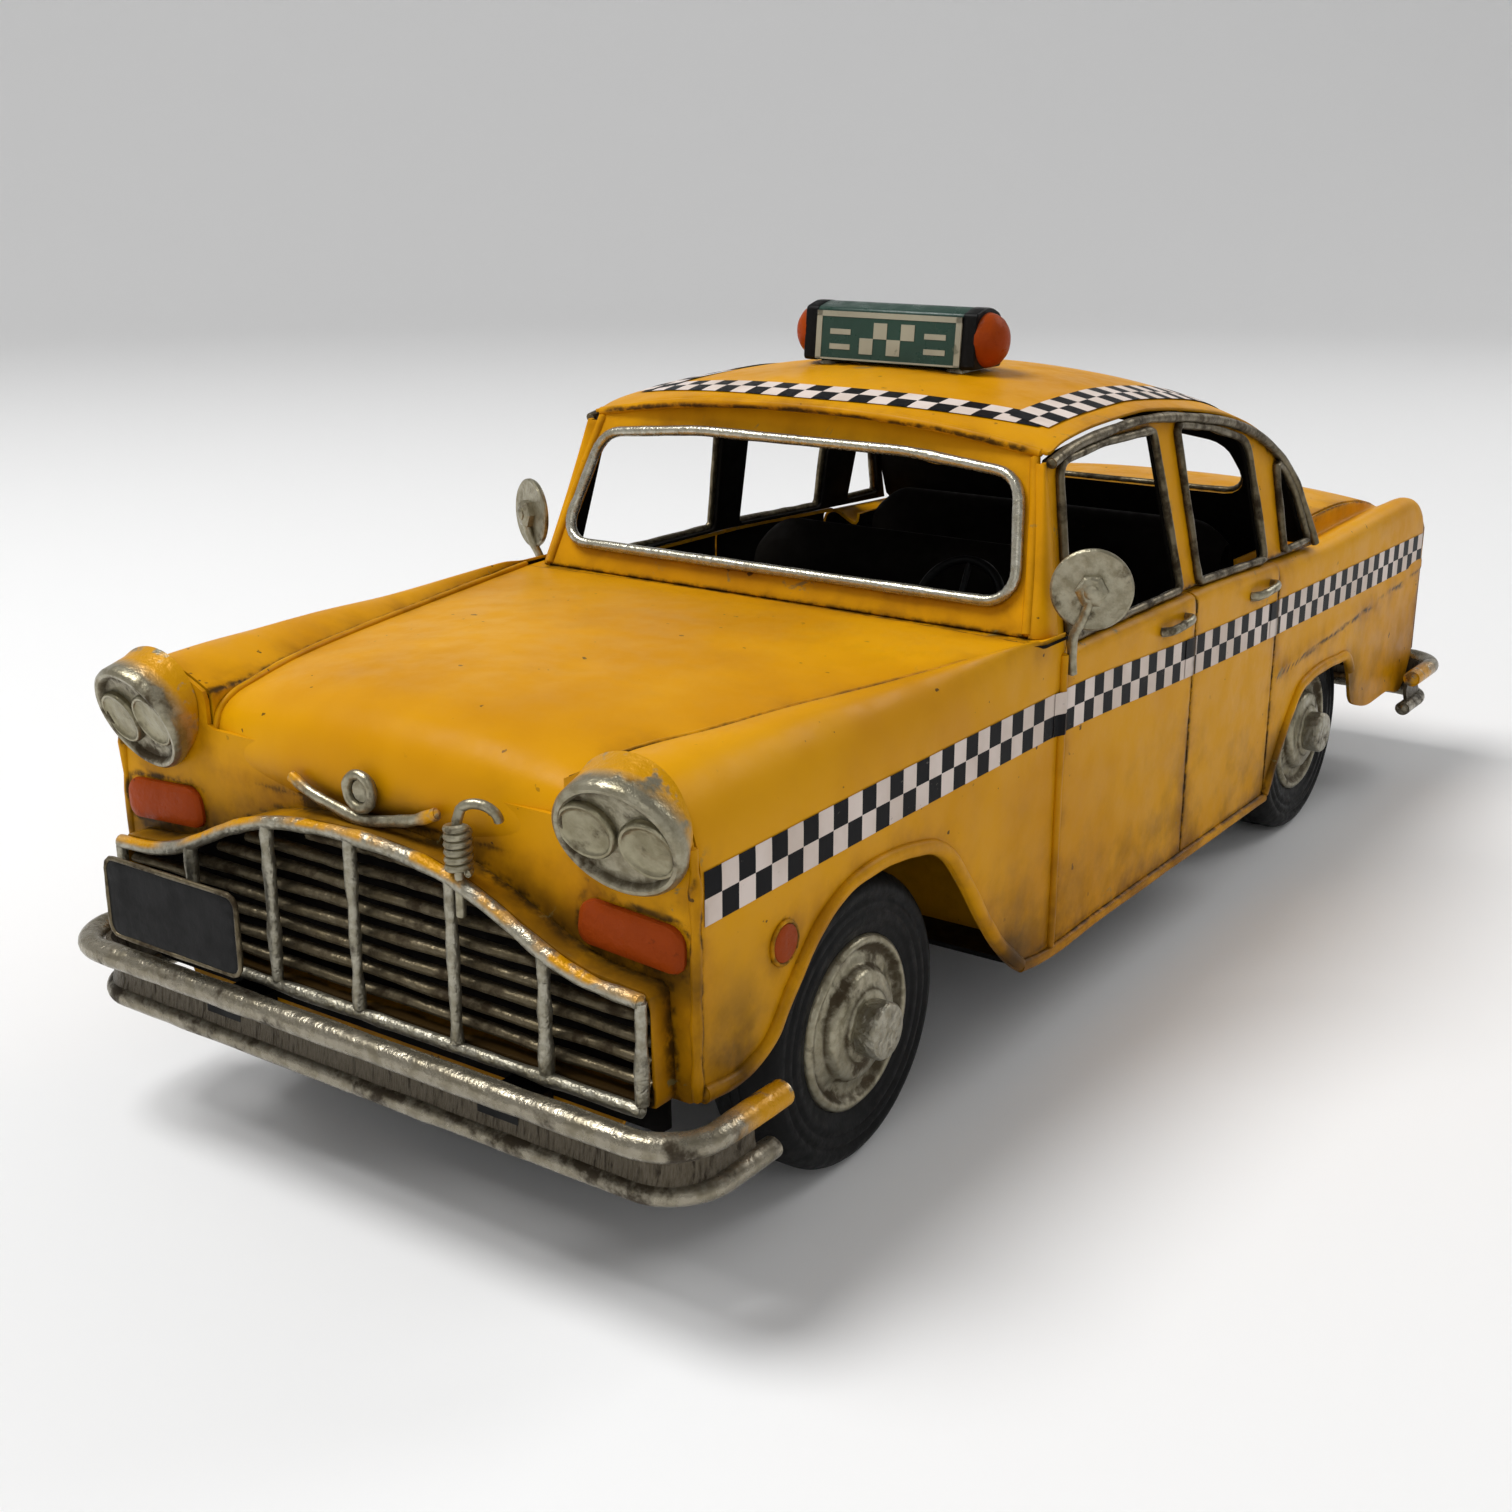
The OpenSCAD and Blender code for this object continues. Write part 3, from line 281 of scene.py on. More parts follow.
CREAM = dull_paint("cream_print", rgb(0.36, 0.35, 0.27), rgb(0.13, 0.13, 0.09), 0.45, 0.64)
STEEL = aged_metal("steel", rgb(0.5, 0.5, 0.5), rgb(0.12, 0.08, 0.05), 0.3, 0.34)
BRASS = aged_metal("brass", rgb(0.75, 0.53, 0.2), rgb(0.2, 0.12, 0.05), 0.25, 0.32)
TYRE = dull_paint("tyre_black", rgb(0.009, 0.009, 0.009), rgb(0.03, 0.028, 0.025), 0.5, 0.7, 500, 0.35,
    0.1)
CHEQUER = chequer("chequer_print")
SHELL = [YELLOW, INSIDE]
SLOTS = {"yellow_paint": [YELLOW], "black_paint": [INSIDE, BLACK, CHEQUER], "lens": [LENS],
    "silver_trim": [TRIM, BRIGHT, DULL, BUMPER, BRUSHED, WELD, CREAM], "tyre": [TYRE],
    "red_lamp": [LAMP_RED], "green_sign": [GREEN]}
SLOT_OF = {mat.name: slot for slot, mats in SLOTS.items() for mat in mats}


# ---------------------------------------------------------------- shape helpers, mm
def unit(v):
    v = np.asarray(v, float)
    return v / np.linalg.norm(v)


_slopes = {}


def curve(table, x):
    """Smooth curve without overshoot through the rows [x, value]."""
    if id(table) not in _slopes:
        xs, ys = [p[0] for p in table], [p[1] for p in table]
        h = [b - a for a, b in zip(xs, xs[1:])]
        d = [(b - a) / w for a, b, w in zip(ys, ys[1:], h)]
        m = [d[0]] + [0.0] * (len(xs) - 2) + [d[-1]]
        for i in range(1, len(xs) - 1):
            if d[i - 1] * d[i] > 0:
                w1, w2 = 2 * h[i] + h[i - 1], h[i] + 2 * h[i - 1]
                m[i] = (w1 + w2) / (w1 / d[i - 1] + w2 / d[i])
        _slopes[id(table)] = (xs, ys, m, table)
    xs, ys, m, _ = _slopes[id(table)]
    x = min(max(x, xs[0]), xs[-1])
    i = min(max(bisect.bisect_right(xs, x) - 1, 0), len(xs) - 2)
    h = xs[i + 1] - xs[i]
    s = (x - xs[i]) / h
    return ((1 + 2 * s) * (1 - s) ** 2 * ys[i] + s * (1 - s) ** 2 * h * m[i] + s * s * (3 - 2 * s)
        * ys[i + 1] - s * s * (1 - s) * h * m[i + 1])


def spline(points, n, closed=False):
    """n points along a smooth curve through the given ones."""
    p = np.asarray(points, float)
    count = len(p)
    if closed:
        p = np.vstack([p[-3:], p, p[:3]])
    t = np.r_[0, np.cumsum(np.linalg.norm(np.diff(p, axis=0), axis=1))]
    slope = np.gradient(p, t, axis=0)
    at = np.linspace(t[3], t[3 + count], n, endpoint=False) if closed \
        else np.linspace(0, t[-1], n)
    i = np.clip(np.searchsorted(t, at, side="right") - 1, 0, len(t) - 2)
    h = (t[i + 1] - t[i])[:, None]
    s = (at - t[i])[:, None] / h
    return ((1 + 2 * s) * (1 - s) ** 2 * p[i] + s * (1 - s) ** 2 * h * slope[i] + s * s * (3 - 2 * s)
        * p[i + 1] - s * s * (1 - s) * h * slope[i + 1])


def evenly(points, step, closed=False):
    """The same polyline, resampled about every step."""
    p = np.asarray(points, float)
    if closed:
        p = np.vstack([p, p[:1]])
    t = np.r_[0, np.cumsum(np.linalg.norm(np.diff(p, axis=0), axis=1))]
    n = max(2, int(round(t[-1] / step)) + 1)
    at = np.linspace(0, t[-1], n)
    out = np.stack([np.interp(at, t, p[:, k]) for k in range(p.shape[1])], axis=1)
    return out[:-1] if closed else out


def rounded(corners, steps=7):
    """Closed outline with each corner [x, y, radius] rounded."""
    c = np.asarray(corners, float)
    out = []
    for i in range(len(c)):
        p, r = c[i][:2], c[i][2]
        a, b = unit(c[i - 1][:2] - p), unit(c[(i + 1) % len(c)][:2] - p)
        half = acos(np.clip(a @ b, -1, 1)) / 2
        mid = p + unit(a + b) * r / sin(half)
        s, e = p + a * r / tan(half) - mid, p + b * r / tan(half) - mid
        out += [mid + r * unit(s * (1 - k / steps) + e * k / steps) for k in range(steps + 1)]
    return np.array(out)


def grid_faces(n, m, closed_rows=False, closed_cols=False):
    faces = []
    for i in range(n if closed_rows else n - 1):
        for j in range(m if closed_cols else m - 1):
            i2, j2 = (i + 1) % n, (j + 1) % m
            faces.append([i * m + j, i * m + j2, i2 * m + j2, i2 * m + j])
    return faces


def grid(rows):
    rows = np.asarray(rows, float)
    n, m = rows.shape[:2]
    return rows.reshape(-1, 3), grid_faces(n, m)


def flip(part):
    return part[0] * [-1, 1, 1], [f[::-1] for f in part[1]]


def both(part):
    return [part, flip(part)]


def lumps(n, amount, step=3):
    """Slow random unevenness along n points, about 1."""
    knots = RNG.normal(0, amount, n // step + 3)
    return 1 + np.interp(np.arange(n) / step, np.arange(len(knots)), knots)


def tangents(p, closed=False):
    t = np.roll(p, -1, 0) - np.roll(p, 1, 0) if closed else np.gradient(p, axis=0)
    return t / np.linalg.norm(t, axis=1, keepdims=True)


def sweep(path, section, ref, closed=False, scale=None):
    """A closed section [across, along ref] swept along a path, with closed ends."""
    p = np.asarray(path, float)
    s = np.asarray(section, float)
    n, m = len(p), len(s)
    t = tangents(p, closed)
    b = np.cross(t, ref)
    b /= np.linalg.norm(b, axis=1, keepdims=True)
    c = np.cross(b, t)
    k = np.ones(n) if scale is None else np.asarray(scale)
    rings = p[:, None] + k[:, None, None] * (s[None, :, :1] * b[:, None] + s[None, :, 1:] * c[:, None])
    verts = rings.reshape(-1, 3)
    faces = grid_faces(n, m, closed, True)
    if not closed:
        faces += [list(range(m)), list(range((n - 1) * m, n * m))[::-1]]
    return verts, faces


def ring(r1, r2=None, n=12):
    a = np.arange(n) * 2 * pi / n
    return np.stack([r1 * np.cos(a), (r2 or r1) * np.sin(a)], axis=1)


def tube(path, r, ref, closed=False, flat=1.0, rough=0.0, sides=12, round_ends=True):
    """A round wire; open ends are domed and rough makes it uneven."""
    p = np.asarray(path, float)
    k = lumps(len(p), rough) if rough else np.ones(len(p))
    if closed:
        k[-1] = k[0]
    elif round_ends:
        a, b = unit(p[0] - p[1]), unit(p[-1] - p[-2])
        dome = [(0.5, 0.0), (0.35, 0.45), (0.0, 0.8), (-0.45, 0.97)]
        p = np.vstack([[p[0] + a * r * d for d, _ in dome[:-1]], p, [p[-1] + b * r * d
            for d, _ in dome[-2::-1]]])
        ends = np.array([max(w, 0.05) for _, w in dome[:-1]])
        k = np.r_[ends * k[0], k, ends[::-1] * k[-1]]
    return sweep(p, ring(r, r * flat, sides), ref, closed, k)


def lathe(profile, place, n=72, ellipse=1.0):
    """A turned form: [radius, height] about the local axis, put in place by a function."""
    prof = np.asarray(profile, float)
    a = np.arange(n) * 2 * pi / n
    pts = np.stack([prof[:, :1] * np.cos(a), prof[:, :1] * np.sin(a) * ellipse,
        np.repeat(prof[:, 1:], n, 1)], axis=2)
    return place(pts.reshape(-1, 3)), grid_faces(len(prof), n, False, True)


def frame_of(origin, ax, ay, az):
    axes = np.array([ax, ay, az], float)
    return lambda p: np.asarray(origin, float) + np.asarray(p, float) @ axes


def facing_front(y, x=0.0, z=0.0):
    return frame_of([x, y, z], ACROSS, UP, [0, -1, 0])


def facing_back(y, x=0.0, z=0.0):
    return frame_of([x, y, z], [-1, 0, 0], UP, ALONG)


def facing_left(x, y=0.0, z=0.0):
    return frame_of([x, y, z], ALONG, UP, ACROSS)


def lift2(points, height=0.0):
    """Flat points given a height."""
    p = np.asarray(points, float)
    return np.column_stack([p[:, :2], np.full(len(p), height)])


def hoop(place, r, n=36):
    return place(lift2(ring(r, n=n)))


def line3(a, b, n):
    return np.linspace(np.asarray(a, float), np.asarray(b, float), n)


def loft(loops):
    """Closed outlines of equally many points joined in order, both ends capped."""
    n, m = len(loops), len(loops[0])
    caps = [list(range(m))[::-1], list(range((n - 1) * m, n * m))]
    return np.vstack(loops), grid_faces(n, m, False, True) + caps


def cushion(outline, place, depth, rise):
    """A low pillow with rounded edges over an outline: hand-filled lamp covers."""
    o = np.asarray(outline)
    mid = o.mean(0)
    loops = [(1.0, 0.0), (1.0, depth * 0.6), (0.965, depth), (0.85, depth + rise * 0.45),
        (0.6, depth + rise * 0.85), (0.3, depth + rise), (0.02, depth + rise)]
    verts, faces = loft([lift2(mid + (o - mid) * k, h) for k, h in loops])
    return place(verts), faces


def prism_x(section, xs, scales):
    """A section [y, z] along x, shrunk towards its middle where scales fall below 1."""
    s = np.asarray(section)
    mid = s.mean(0)
    return loft([np.column_stack([np.full(len(s), x), mid + (s - mid) * k])
        for x, k in zip(xs, scales)])


def plate(outline, holes, place, step=2.4):
    """A flat sheet with holes, cut into small triangles; thickness is added later."""
    bm = bmesh.new()
    edges = []
    for loop in [outline] + list(holes):
        vs = [bm.verts.new((p[0], p[1], 0)) for p in evenly(np.asarray(loop)[:, :2], step, True)]
        edges += [bm.edges.new((vs[i], vs[(i + 1) % len(vs)])) for i in range(len(vs))]
    bmesh.ops.triangle_fill(bm, use_beauty=True, edges=edges)
    for _ in range(7):
        long = [e for e in bm.edges if e.calc_length() > step * 1.3]
        if not long:
            break
        bmesh.ops.subdivide_edges(bm, edges=long, cuts=1)
        bmesh.ops.triangulate(bm, faces=[f for f in bm.faces if len(f.verts) > 3])
        bmesh.ops.beautify_fill(bm, faces=bm.faces[:], edges=bm.edges[:])
    bm.verts.index_update()
    verts = np.array([v.co[:] for v in bm.verts])
    faces = [[v.index for v in f.verts] for f in bm.faces]
    bm.free()
    return place(verts), faces


SEAM_POINTS = []


def seam(path, closed=False, sides=True):
    """Remembers a line where dirt gathers, on both sides of the car."""
    pts = evenly(path, 0.8, closed)
    SEAM_POINTS.append(pts)
    if sides:
        SEAM_POINTS.append(pts * [-1, 1, 1])


_tree = []


def seam_distance(points):
    if not _tree:
        allp = np.vstack(SEAM_POINTS)
        tree = kdtree.KDTree(len(allp))
        for i, p in enumerate(allp):
            tree.insert(p, i)
        tree.balance()
        _tree.append(tree)
    return np.array([_tree[0].find(p)[2] for p in points])


GRIME_SPOTS = [[-153, 36, 12], [-67, 23, 8], [61, 24, 7], [112, 32, 8]]


def grime_and_shade_at(at):
    """Road dirt on the sides: soft spots [y, z, radius] at the ends of the arches; road dirt with
    painted shade in a band above the grille arch on the nose; painted shade on the floor of the grille
    box.
    """
    spots = [np.exp(-((at[:, 1] - y) ** 2 + (at[:, 2] - z) ** 2) / r ** 2) for y, z, r in GRIME_SPOTS]
    arch = np.interp(np.abs(at[:, 0]), *np.transpose(GRILLE_TOP))
    # road dirt with painted shade: a dark band on the nose just above the grille arch
    nose = np.exp(-((at[:, 2] - arch - 1.5) / 4.5) ** 2) * (at[:, 1] < -159.5)
    # painted shade: the floor of the grille box under the slats is darkened
    grille_floor_shade = (at[:, 1] < -161) & (at[:, 2] < 37) & (np.abs(at[:, 0]) < 56.6)
    return np.maximum(np.max(spots, axis=0) * (np.abs(at[:, 0]) > 50),
        np.maximum(0.9 * nose, 2.5 * grille_floor_shade))


def in_scene(name, data):
    obj = bpy.data.objects.new(name, data)
    bpy.context.scene.collection.objects.link(obj)
    return obj


def piece(name, parts, mats, nodes=(), slot="", body="body", sheet=0.0, bevel=0.0, sharp=38,
    washed=False, extra=None, centre=(0, 0, 45), uv=None, dark_rim=False):
    """One object from parts in mm. sheet thickens an open surface away from its outer face;
    the car's paint and print, and any washed piece, gather dirt along the seams."""
    verts = np.vstack([p[0] for p in parts])
    faces, base = [], 0
    for v, f in parts:
        faces += [[i + base for i in face] for face in f]
        base += len(v)
    mesh = bpy.data.meshes.new(name)
    mesh.from_pydata((verts * MM).tolist(), [], faces)
    obj = in_scene(name, mesh)
    bm = bmesh.new()
    bm.from_mesh(mesh)
    if uv is not None:
        bm.verts.ensure_lookup_table()
        flat = bm.loops.layers.uv.new("flat")
        for f in bm.faces:
            for loop in f.loops:
                loop[flat].uv = uv[loop.vert.index]
    bmesh.ops.remove_doubles(bm, verts=bm.verts[:], dist=1e-6)
    bmesh.ops.recalc_face_normals(bm, faces=bm.faces[:])
    if sheet or uv is not None:
        out = Vector(centre) * MM
        if sum(f.normal.dot(f.calc_center_median() - out) * f.calc_area() for f in bm.faces) < 0:
            bmesh.ops.reverse_faces(bm, faces=bm.faces[:])
    bm.to_mesh(mesh)
    bm.free()
    for m in mats:
        mesh.materials.append(m)
    if sheet:
        thick = obj.modifiers.new("sheet", "SOLIDIFY")
        thick.thickness, thick.offset = sheet * MM, -1
        thick.use_even_offset = False
        thick.material_offset = len(mats) - 1
        thick.material_offset_rim = int(dark_rim)
    if bevel:
        rim = obj.modifiers.new("rim", "BEVEL")
        rim.width, rim.segments, rim.limit_method = bevel * MM, 2, "ANGLE"
        rim.angle_limit = radians(50)
    if sheet or bevel:
        graph = bpy.context.evaluated_depsgraph_get()
        mesh = bpy.data.meshes.new_from_object(obj.evaluated_get(graph))
        obj.modifiers.clear()
        obj.data = mesh
    mesh.polygons.foreach_set("use_smooth", [True] * len(mesh.polygons))
    mesh.set_sharp_from_angle(angle=radians(sharp))
    at = np.array([v.co[:] for v in mesh.vertices]) / MM
    values = dict(extra(at) if extra else {})
    if washed or mats[0] in (YELLOW, CHEQUER):
        d = seam_distance(at)
        values["seam"] = np.exp(-(d / 0.95) ** 2)
        values["halo"] = np.exp(-d / 4.2)
        # road dirt spots, and painted shade on the nose and on the grille box floor
        values["grime_and_shade"] = grime_and_shade_at(at)
    for key, value in values.items():
        mesh.attributes.new(key, "FLOAT", "POINT").data.foreach_set("value",
            np.asarray(value, np.float32))
    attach(obj, body)
    if nodes:
        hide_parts(*nodes)
    slot or SLOT_OF[mats[0].name]


def pair(name, parts, mats=SHELL, kind="skin", in_cad=True, **more):
    """The same piece for the car's left side and, mirrored, its right."""
    for side, turn in (("left", lambda p: p), ("right", flip)):
        piece(f"{name}_{side}_{kind}", [turn(p) for p in parts], mats,
            [f"{name}_{side}"] if in_cad else [], **more)


# ---------------------------------------------------------------- body surfaces
def fender_point(y, t):
    """Section of the fender at y: t 0 is the lower edge, 1 the shoulder, 2 the hood seam."""
    zb, zs = curve(FRONT_ARCH, y), curve(SIDE_TOP, y)
    w, h = SIDE_X - curve(SEAM_X, y), curve(SEAM_Z, min(y, -59)) - zs
    a = pi / 2 * max(0.0, t - 1)
    z = zb + (zs - zb) * min(t, 1.0) + h * sin(a) + curve(CROWN_RISE, y) * sin(2 * a)
    return [SIDE_X - w * (1 - cos(a)), y, z]


def fender_row(y, ts):
    """The fender's section with a short flange turned down beside the hood."""
    x, _, z = fender_point(y, 2)
    return [fender_point(y, t) for t in ts] + [[x - 0.35, y, z - drop] for drop in (0.5, 2.5, 5.5)]


def hood_point(row, u):
    y, w, ze, zm = row
    return [w * u, y + 2.4 * u * u * max(0.0, (y + 140) / -22), zm - (zm - ze) * abs(u) ** 2.6]


def side_plane_x(z):
    return WAIST_X - tan(TILT) * (z - WAIST_Z)


def roof_point(y, u, lift=0.0):
    ze = curve(DRIP, y) + 0.5
    zc = curve(ROOF_MIDDLE, y)
    x = (side_plane_x(ze) + 0.4) * u
    return [x, y + 2.2 * u * u * max(0.0, (y + 36) / -10), zc - (zc - ze) * abs(u) ** 2.3 + lift]


def crease_z(y):
    return 48.5 + 6.5 * (y - DOOR_REAR) / 107


def quarter_profile(y):
    zt, zb = curve(FIN, y), curve(REAR_ARCH, y)
    edge = curve(LID_EDGE, y)
    side = [[SIDE_X, zb + (zt - 5.5 - zb) * k / 22] for k in range(23)]
    top = spline([[SIDE_X, zt - 5.5], [60.3, zt - 2.8], [59.6, zt - 1.2], [58.2, zt - 0.2], [57, zt],
        [55.6, zt - 0.4], [53, zt - 1.8], [50.7, min(zt - 2.6, edge - 0.8)], [50.2, edge - 0.4]], 22)
    rows = []
    for x, z in side + [list(p) for p in top[1:]]:
        ridge = 0.55 * exp(-((z - crease_z(y)) / 1.1) ** 2) if y > 57 else 0
        rows.append([x + ridge, y, z])
    return rows


screen = frame_of([0, -56.2, 78.2], ACROSS, [0, sin(SCREEN_LEAN), cos(SCREEN_LEAN)],
    [0, -cos(SCREEN_LEAN), sin(SCREEN_LEAN)])
flank = frame_of([WAIST_X, 0, WAIST_Z], ALONG, [-sin(TILT), 0, cos(TILT)], [cos(TILT), 0, sin(TILT)])
flank_out = np.array([cos(TILT), 0, sin(TILT)])
back_glass = frame_of([0, BACK_Y, BACK_Z], [-1, 0, 0], [0, -sin(BACK_LEAN), cos(BACK_LEAN)],
    [0, cos(BACK_LEAN), sin(BACK_LEAN)])

SCREEN_OPENING = rounded([[-52.4, 5.3, 5], [52.4, 5.3, 5], [47.9, 28.5, 6], [24, 30.7, 60],
    [-24, 30.7, 60], [-47.9, 28.5, 6]])
FRONT_WINDOW = rounded([[-45.5, 3.2, 1], [4.4, 3.2, 1], [0.2, 35.6, 1.5], [-22, 35.8, 40],
    [-40.8, 34.4, 4]])
REAR_WINDOW = rounded([[13.8, 3.2, 1], [49.8, 1.8, 1], [47.2, 28.2, 6], [28, 33, 40],
    [11.2, 35.4, 1.5]])
QUARTER_WINDOW = rounded([[61.6, 1.9, 0.6], [77, 1.8, 0.6], [71.6, 13.6, 8], [66.4, 19.4, 4],
    [62, 21.6, 1]])
BACK_OPENING = rounded([[-46, 12.5, 5], [46, 12.5, 5], [41, 27, 7], [0, 34, 60], [-41, 27, 7]])


def on_slope(p, drop):
    """A side point [y, z] in the window plane's own coordinates, a little lower."""
    return [p[0], (p[1] - WAIST_Z) / cos(TILT) - drop]


# lines where the brown wash gathers
fender_seam = [fender_point(y, 2) for y in np.linspace(-159, -59, 60)]
seam(fender_seam)
seam([hood_point(HOOD_LINE[-1], u) for u in np.linspace(0, 1, 20)])
seam([[0, -56.2, 78], [56, -56.2, 78]])
seam([hood_point(HOOD_LINE[0], u) for u in np.linspace(0, 1, 20)])
for y in (DOOR_FRONT, DOOR_MID, DOOR_REAR):
    seam([[SIDE_X, y, ROCKER_Z], [SIDE_X, y, curve(SILL, y)]])
seam([[SIDE_X, y, curve(FRONT_ARCH, y) + 1.8] for y in np.linspace(-158, -63, 70)])
seam([[SIDE_X, y, curve(REAR_ARCH, y) + 1.8] for y in np.linspace(57, 111, 40)])
seam([[SIDE_X, -62, ROCKER_Z + 1.7], [SIDE_X, DOOR_REAR, ROCKER_Z + 1.7]])
seam([[58.3, y, curve(SILL, y) + 0.3] for y in np.linspace(-49, 80, 50)])
seam(screen(lift2(SCREEN_OPENING)), True, False)
for opening in (FRONT_WINDOW, REAR_WINDOW, QUARTER_WINDOW):
    seam(flank(lift2(opening)), True)
seam(back_glass(lift2(BACK_OPENING)), True, False)
seam(flank(lift2([on_slope(p, 1.6) for p in DRIP])))
seam([[50, y, curve(LID_EDGE, y)] for y in np.linspace(83, 161, 50)])
seam([[0, 82.5, 77], [50, 82.5, 73.5]])
seam([[SIDE_X, -159.4, 33], [SIDE_X, -159.4, 62]])
seam([[50.4 + 11.2 * cos(a), -161, 70.6 + 10.2 * sin(a)] for a in np.linspace(0, 6.28, 50)])
seam([[p[0], -160.6, p[1] + 1] for p in GRILLE_TOP] + [[57.4, -160.6, 33]])
seam([[x, -160.5, z] for x, z in rounded([[39.4, 52.9, 2], [59.4, 51.7, 2], [59.7, 59.7, 3],
    [40.3, 60.9, 3]])], True)
seam([[SIDE_X, MARKER_Y + 3 * cos(a), MARKER_Z + 3 * sin(a)] for a in np.linspace(0, 6.28, 30)])
seam([[SIDE_X, 162.5, 31], [SIDE_X, 162.5, 68]])
for y, z in HANDLES:
    seam([[SIDE_X, y - 5, z - 1.6], [SIDE_X, y + 5.5, z - 1.2]])
seam([[0, -46.6, 112.9], [30, -46.2, 111.6], [48, -45, 109.2]])
seam([[SIDE_X, y, crease_z(y) - 1.9] for y in np.linspace(58, 161, 50)])
seam([[x, SIGN_Y + dy, SIGN_Z + 1.9] for dy in (-6, 6) for x in (0, 17)])

# ---------------------------------------------------------------- hood and fenders
hood_rows = spline(HOOD_LINE, 96)
piece("hood_skin", [grid([[hood_point(r, u) for u in np.linspace(1, -1, 73)] for r in hood_rows])],
    SHELL, ["hood"], sheet=SHEET, bevel=0.2)
hem = [hood_point(r, 0.993) for r in hood_rows[6:]]
piece("hood_hems", both(tube(np.array(hem) + [0, 0, 0.25], 0.62, UP, rough=0.08)), [YELLOW])
fender_y = np.r_[np.linspace(-159, -58.6, 96), np.linspace(-57, DOOR_FRONT - SEAM_GAP, 6)]
fender_t = np.r_[np.linspace(0, 1, 26), np.linspace(1, 2, 22)[1:]]
pair("front_fender", [grid([fender_row(y, fender_t) for y in fender_y])], sheet=SHEET, bevel=0.2)

front_edge = [fender_point(-159, t) for t in np.linspace(0.02, 1.15, 40)]
piece("nose_corner_lips", both(tube(np.array(front_edge) + [-0.3, -0.9, 0], 0.85, ALONG, rough=0.2)),
    [YELLOW])
pod = [[p[0], p[2] - 0.1] for p in (fender_point(-159, t) for t in np.linspace(1, 2, 12))]
nose_half = [[46, 24], [50, 33], [60.4, 33]] + pod + [[37.7, 71], [20, 71]]
nose_outline = nose_half + [[-x, z] for x, z in nose_half[::-1]]
piece("nose_skin", [plate(nose_outline, [], facing_front(NOSE_Y), 1.9)], SHELL, ["nose_panel"],
    sheet=SHEET)
grille_back = [[p[0], p[1] - 0.4] for p in GRILLE_TOP[::-1]]
grille_back = [[x, z] for x, z in grille_back] + [[-x, z] for x, z in grille_back[::-1]]
grille_back += [[-56, 27], [56, 27]]
piece("grille_shadow_plate", [plate(grille_back, [], facing_front(NOSE_Y - 0.4), 3)], [INSIDE],
    sheet=0.3)

cowl_rows = [[[x, y, 77.75 + 0.25 * sin(pi * k / 5)] for x in np.linspace(59.2, -59.2, 61)]
    for k, y in enumerate(np.linspace(-58.3, -50.8, 4))]
wall_rows = [[[x, -51.6, z] for x in np.linspace(59.2, -59.2, 41)] for z in np.linspace(77, 19, 24)]
piece("cowl_skin", [grid(cowl_rows), grid(wall_rows)], SHELL, ["cowl_panel"], sheet=SHEET)

# ---------------------------------------------------------------- greenhouse
crown = [[49.2 * u, 33.4 + 4.2 * (1 - u * u)] for u in np.linspace(1, -1, 30)]
screen_outline = [[-55.6, 0], [55.6, 0]] + crown
POST_BACK = [[0, -49.4], [0.5, -46.7], [1, -44.8]]


def corner_post():
    """The rounded pillar between the windscreen and the side frame."""
    rows = []
    for t in np.linspace(0, 1, 28):
        back = np.array([58.2 - 6.1 * t, curve(POST_BACK, t), 77.9 + 29.5 * t])
        front = np.array([55.9 - 6 * t, -56.4 + 11.3 * t, 78.1 + 29 * t])
        rows.append([back + (front - back) * k + np.array([1.15, -1.15, 0]) * sin(pi * k)
            for k in np.linspace(0, 1, 13)])
    return grid(rows)


piece("windscreen_frame_skin", [plate(screen_outline, [SCREEN_OPENING], screen, 1.6)], SHELL,
    ["windscreen_frame"], sheet=1.2, bevel=0.35)
pair("corner_post", [corner_post()], in_cad=False, sheet=SHEET, bevel=0.2)
trim_path = screen(lift2(evenly(SCREEN_OPENING, 1.6, True), 0.95))
piece("windscreen_trim_ring", [tube(trim_path, 1.05, screen([UP])[0] - screen([[0, 0, 0]])[0],
    closed=True, rough=0.05, sides=14)], [BRIGHT], ["windscreen_trim"])
piece("a_pillar_rims", both(tube(screen(lift2([[55.2, 0.6], [53.4, 12], [51.3, 24], [49.6, 32]], -0.2)),
    0.95, ALONG, rough=0.06)), [YELLOW])
visor = [roof_point(ROOF_FRONT + 0.1, u) for u in np.linspace(0.97, -0.97, 60)]


def roof_end(u):
    """Where the roof meets the sloping plane of the rear window frame."""
    low, high = 58.0, 75.0
    for _ in range(24):
        y = (low + high) / 2
        if roof_point(y, u)[2] > BACK_Z + (BACK_Y - y) / tan(BACK_LEAN):
            high = y
        else:
            low = y
    return y


ROOF_US = np.linspace(1, -1, 81)
roof_ends = [roof_end(u) for u in ROOF_US]
roof_rows = [[roof_point(ROOF_FRONT + (end - ROOF_FRONT) * k, u) for u, end in zip(ROOF_US, roof_ends)]
    for k in np.linspace(0, 1, 84)]
rear_edge = np.array([roof_point(end, u) for u, end in zip(ROOF_US, roof_ends)])
seam(rear_edge, sides=False)
piece("roof_skin", [grid(roof_rows)], SHELL, ["roof_panel"], sheet=SHEET, bevel=0.25)
piece("roof_visor_hem", [tube(np.array(visor) + [0, 0.4, -0.75], 0.95, ALONG, rough=0.06)], [YELLOW])
piece("roof_rear_hem", [tube(rear_edge[1:-1] + [0, 0.1, -0.45], 0.7, ALONG, rough=0.06)], [YELLOW])

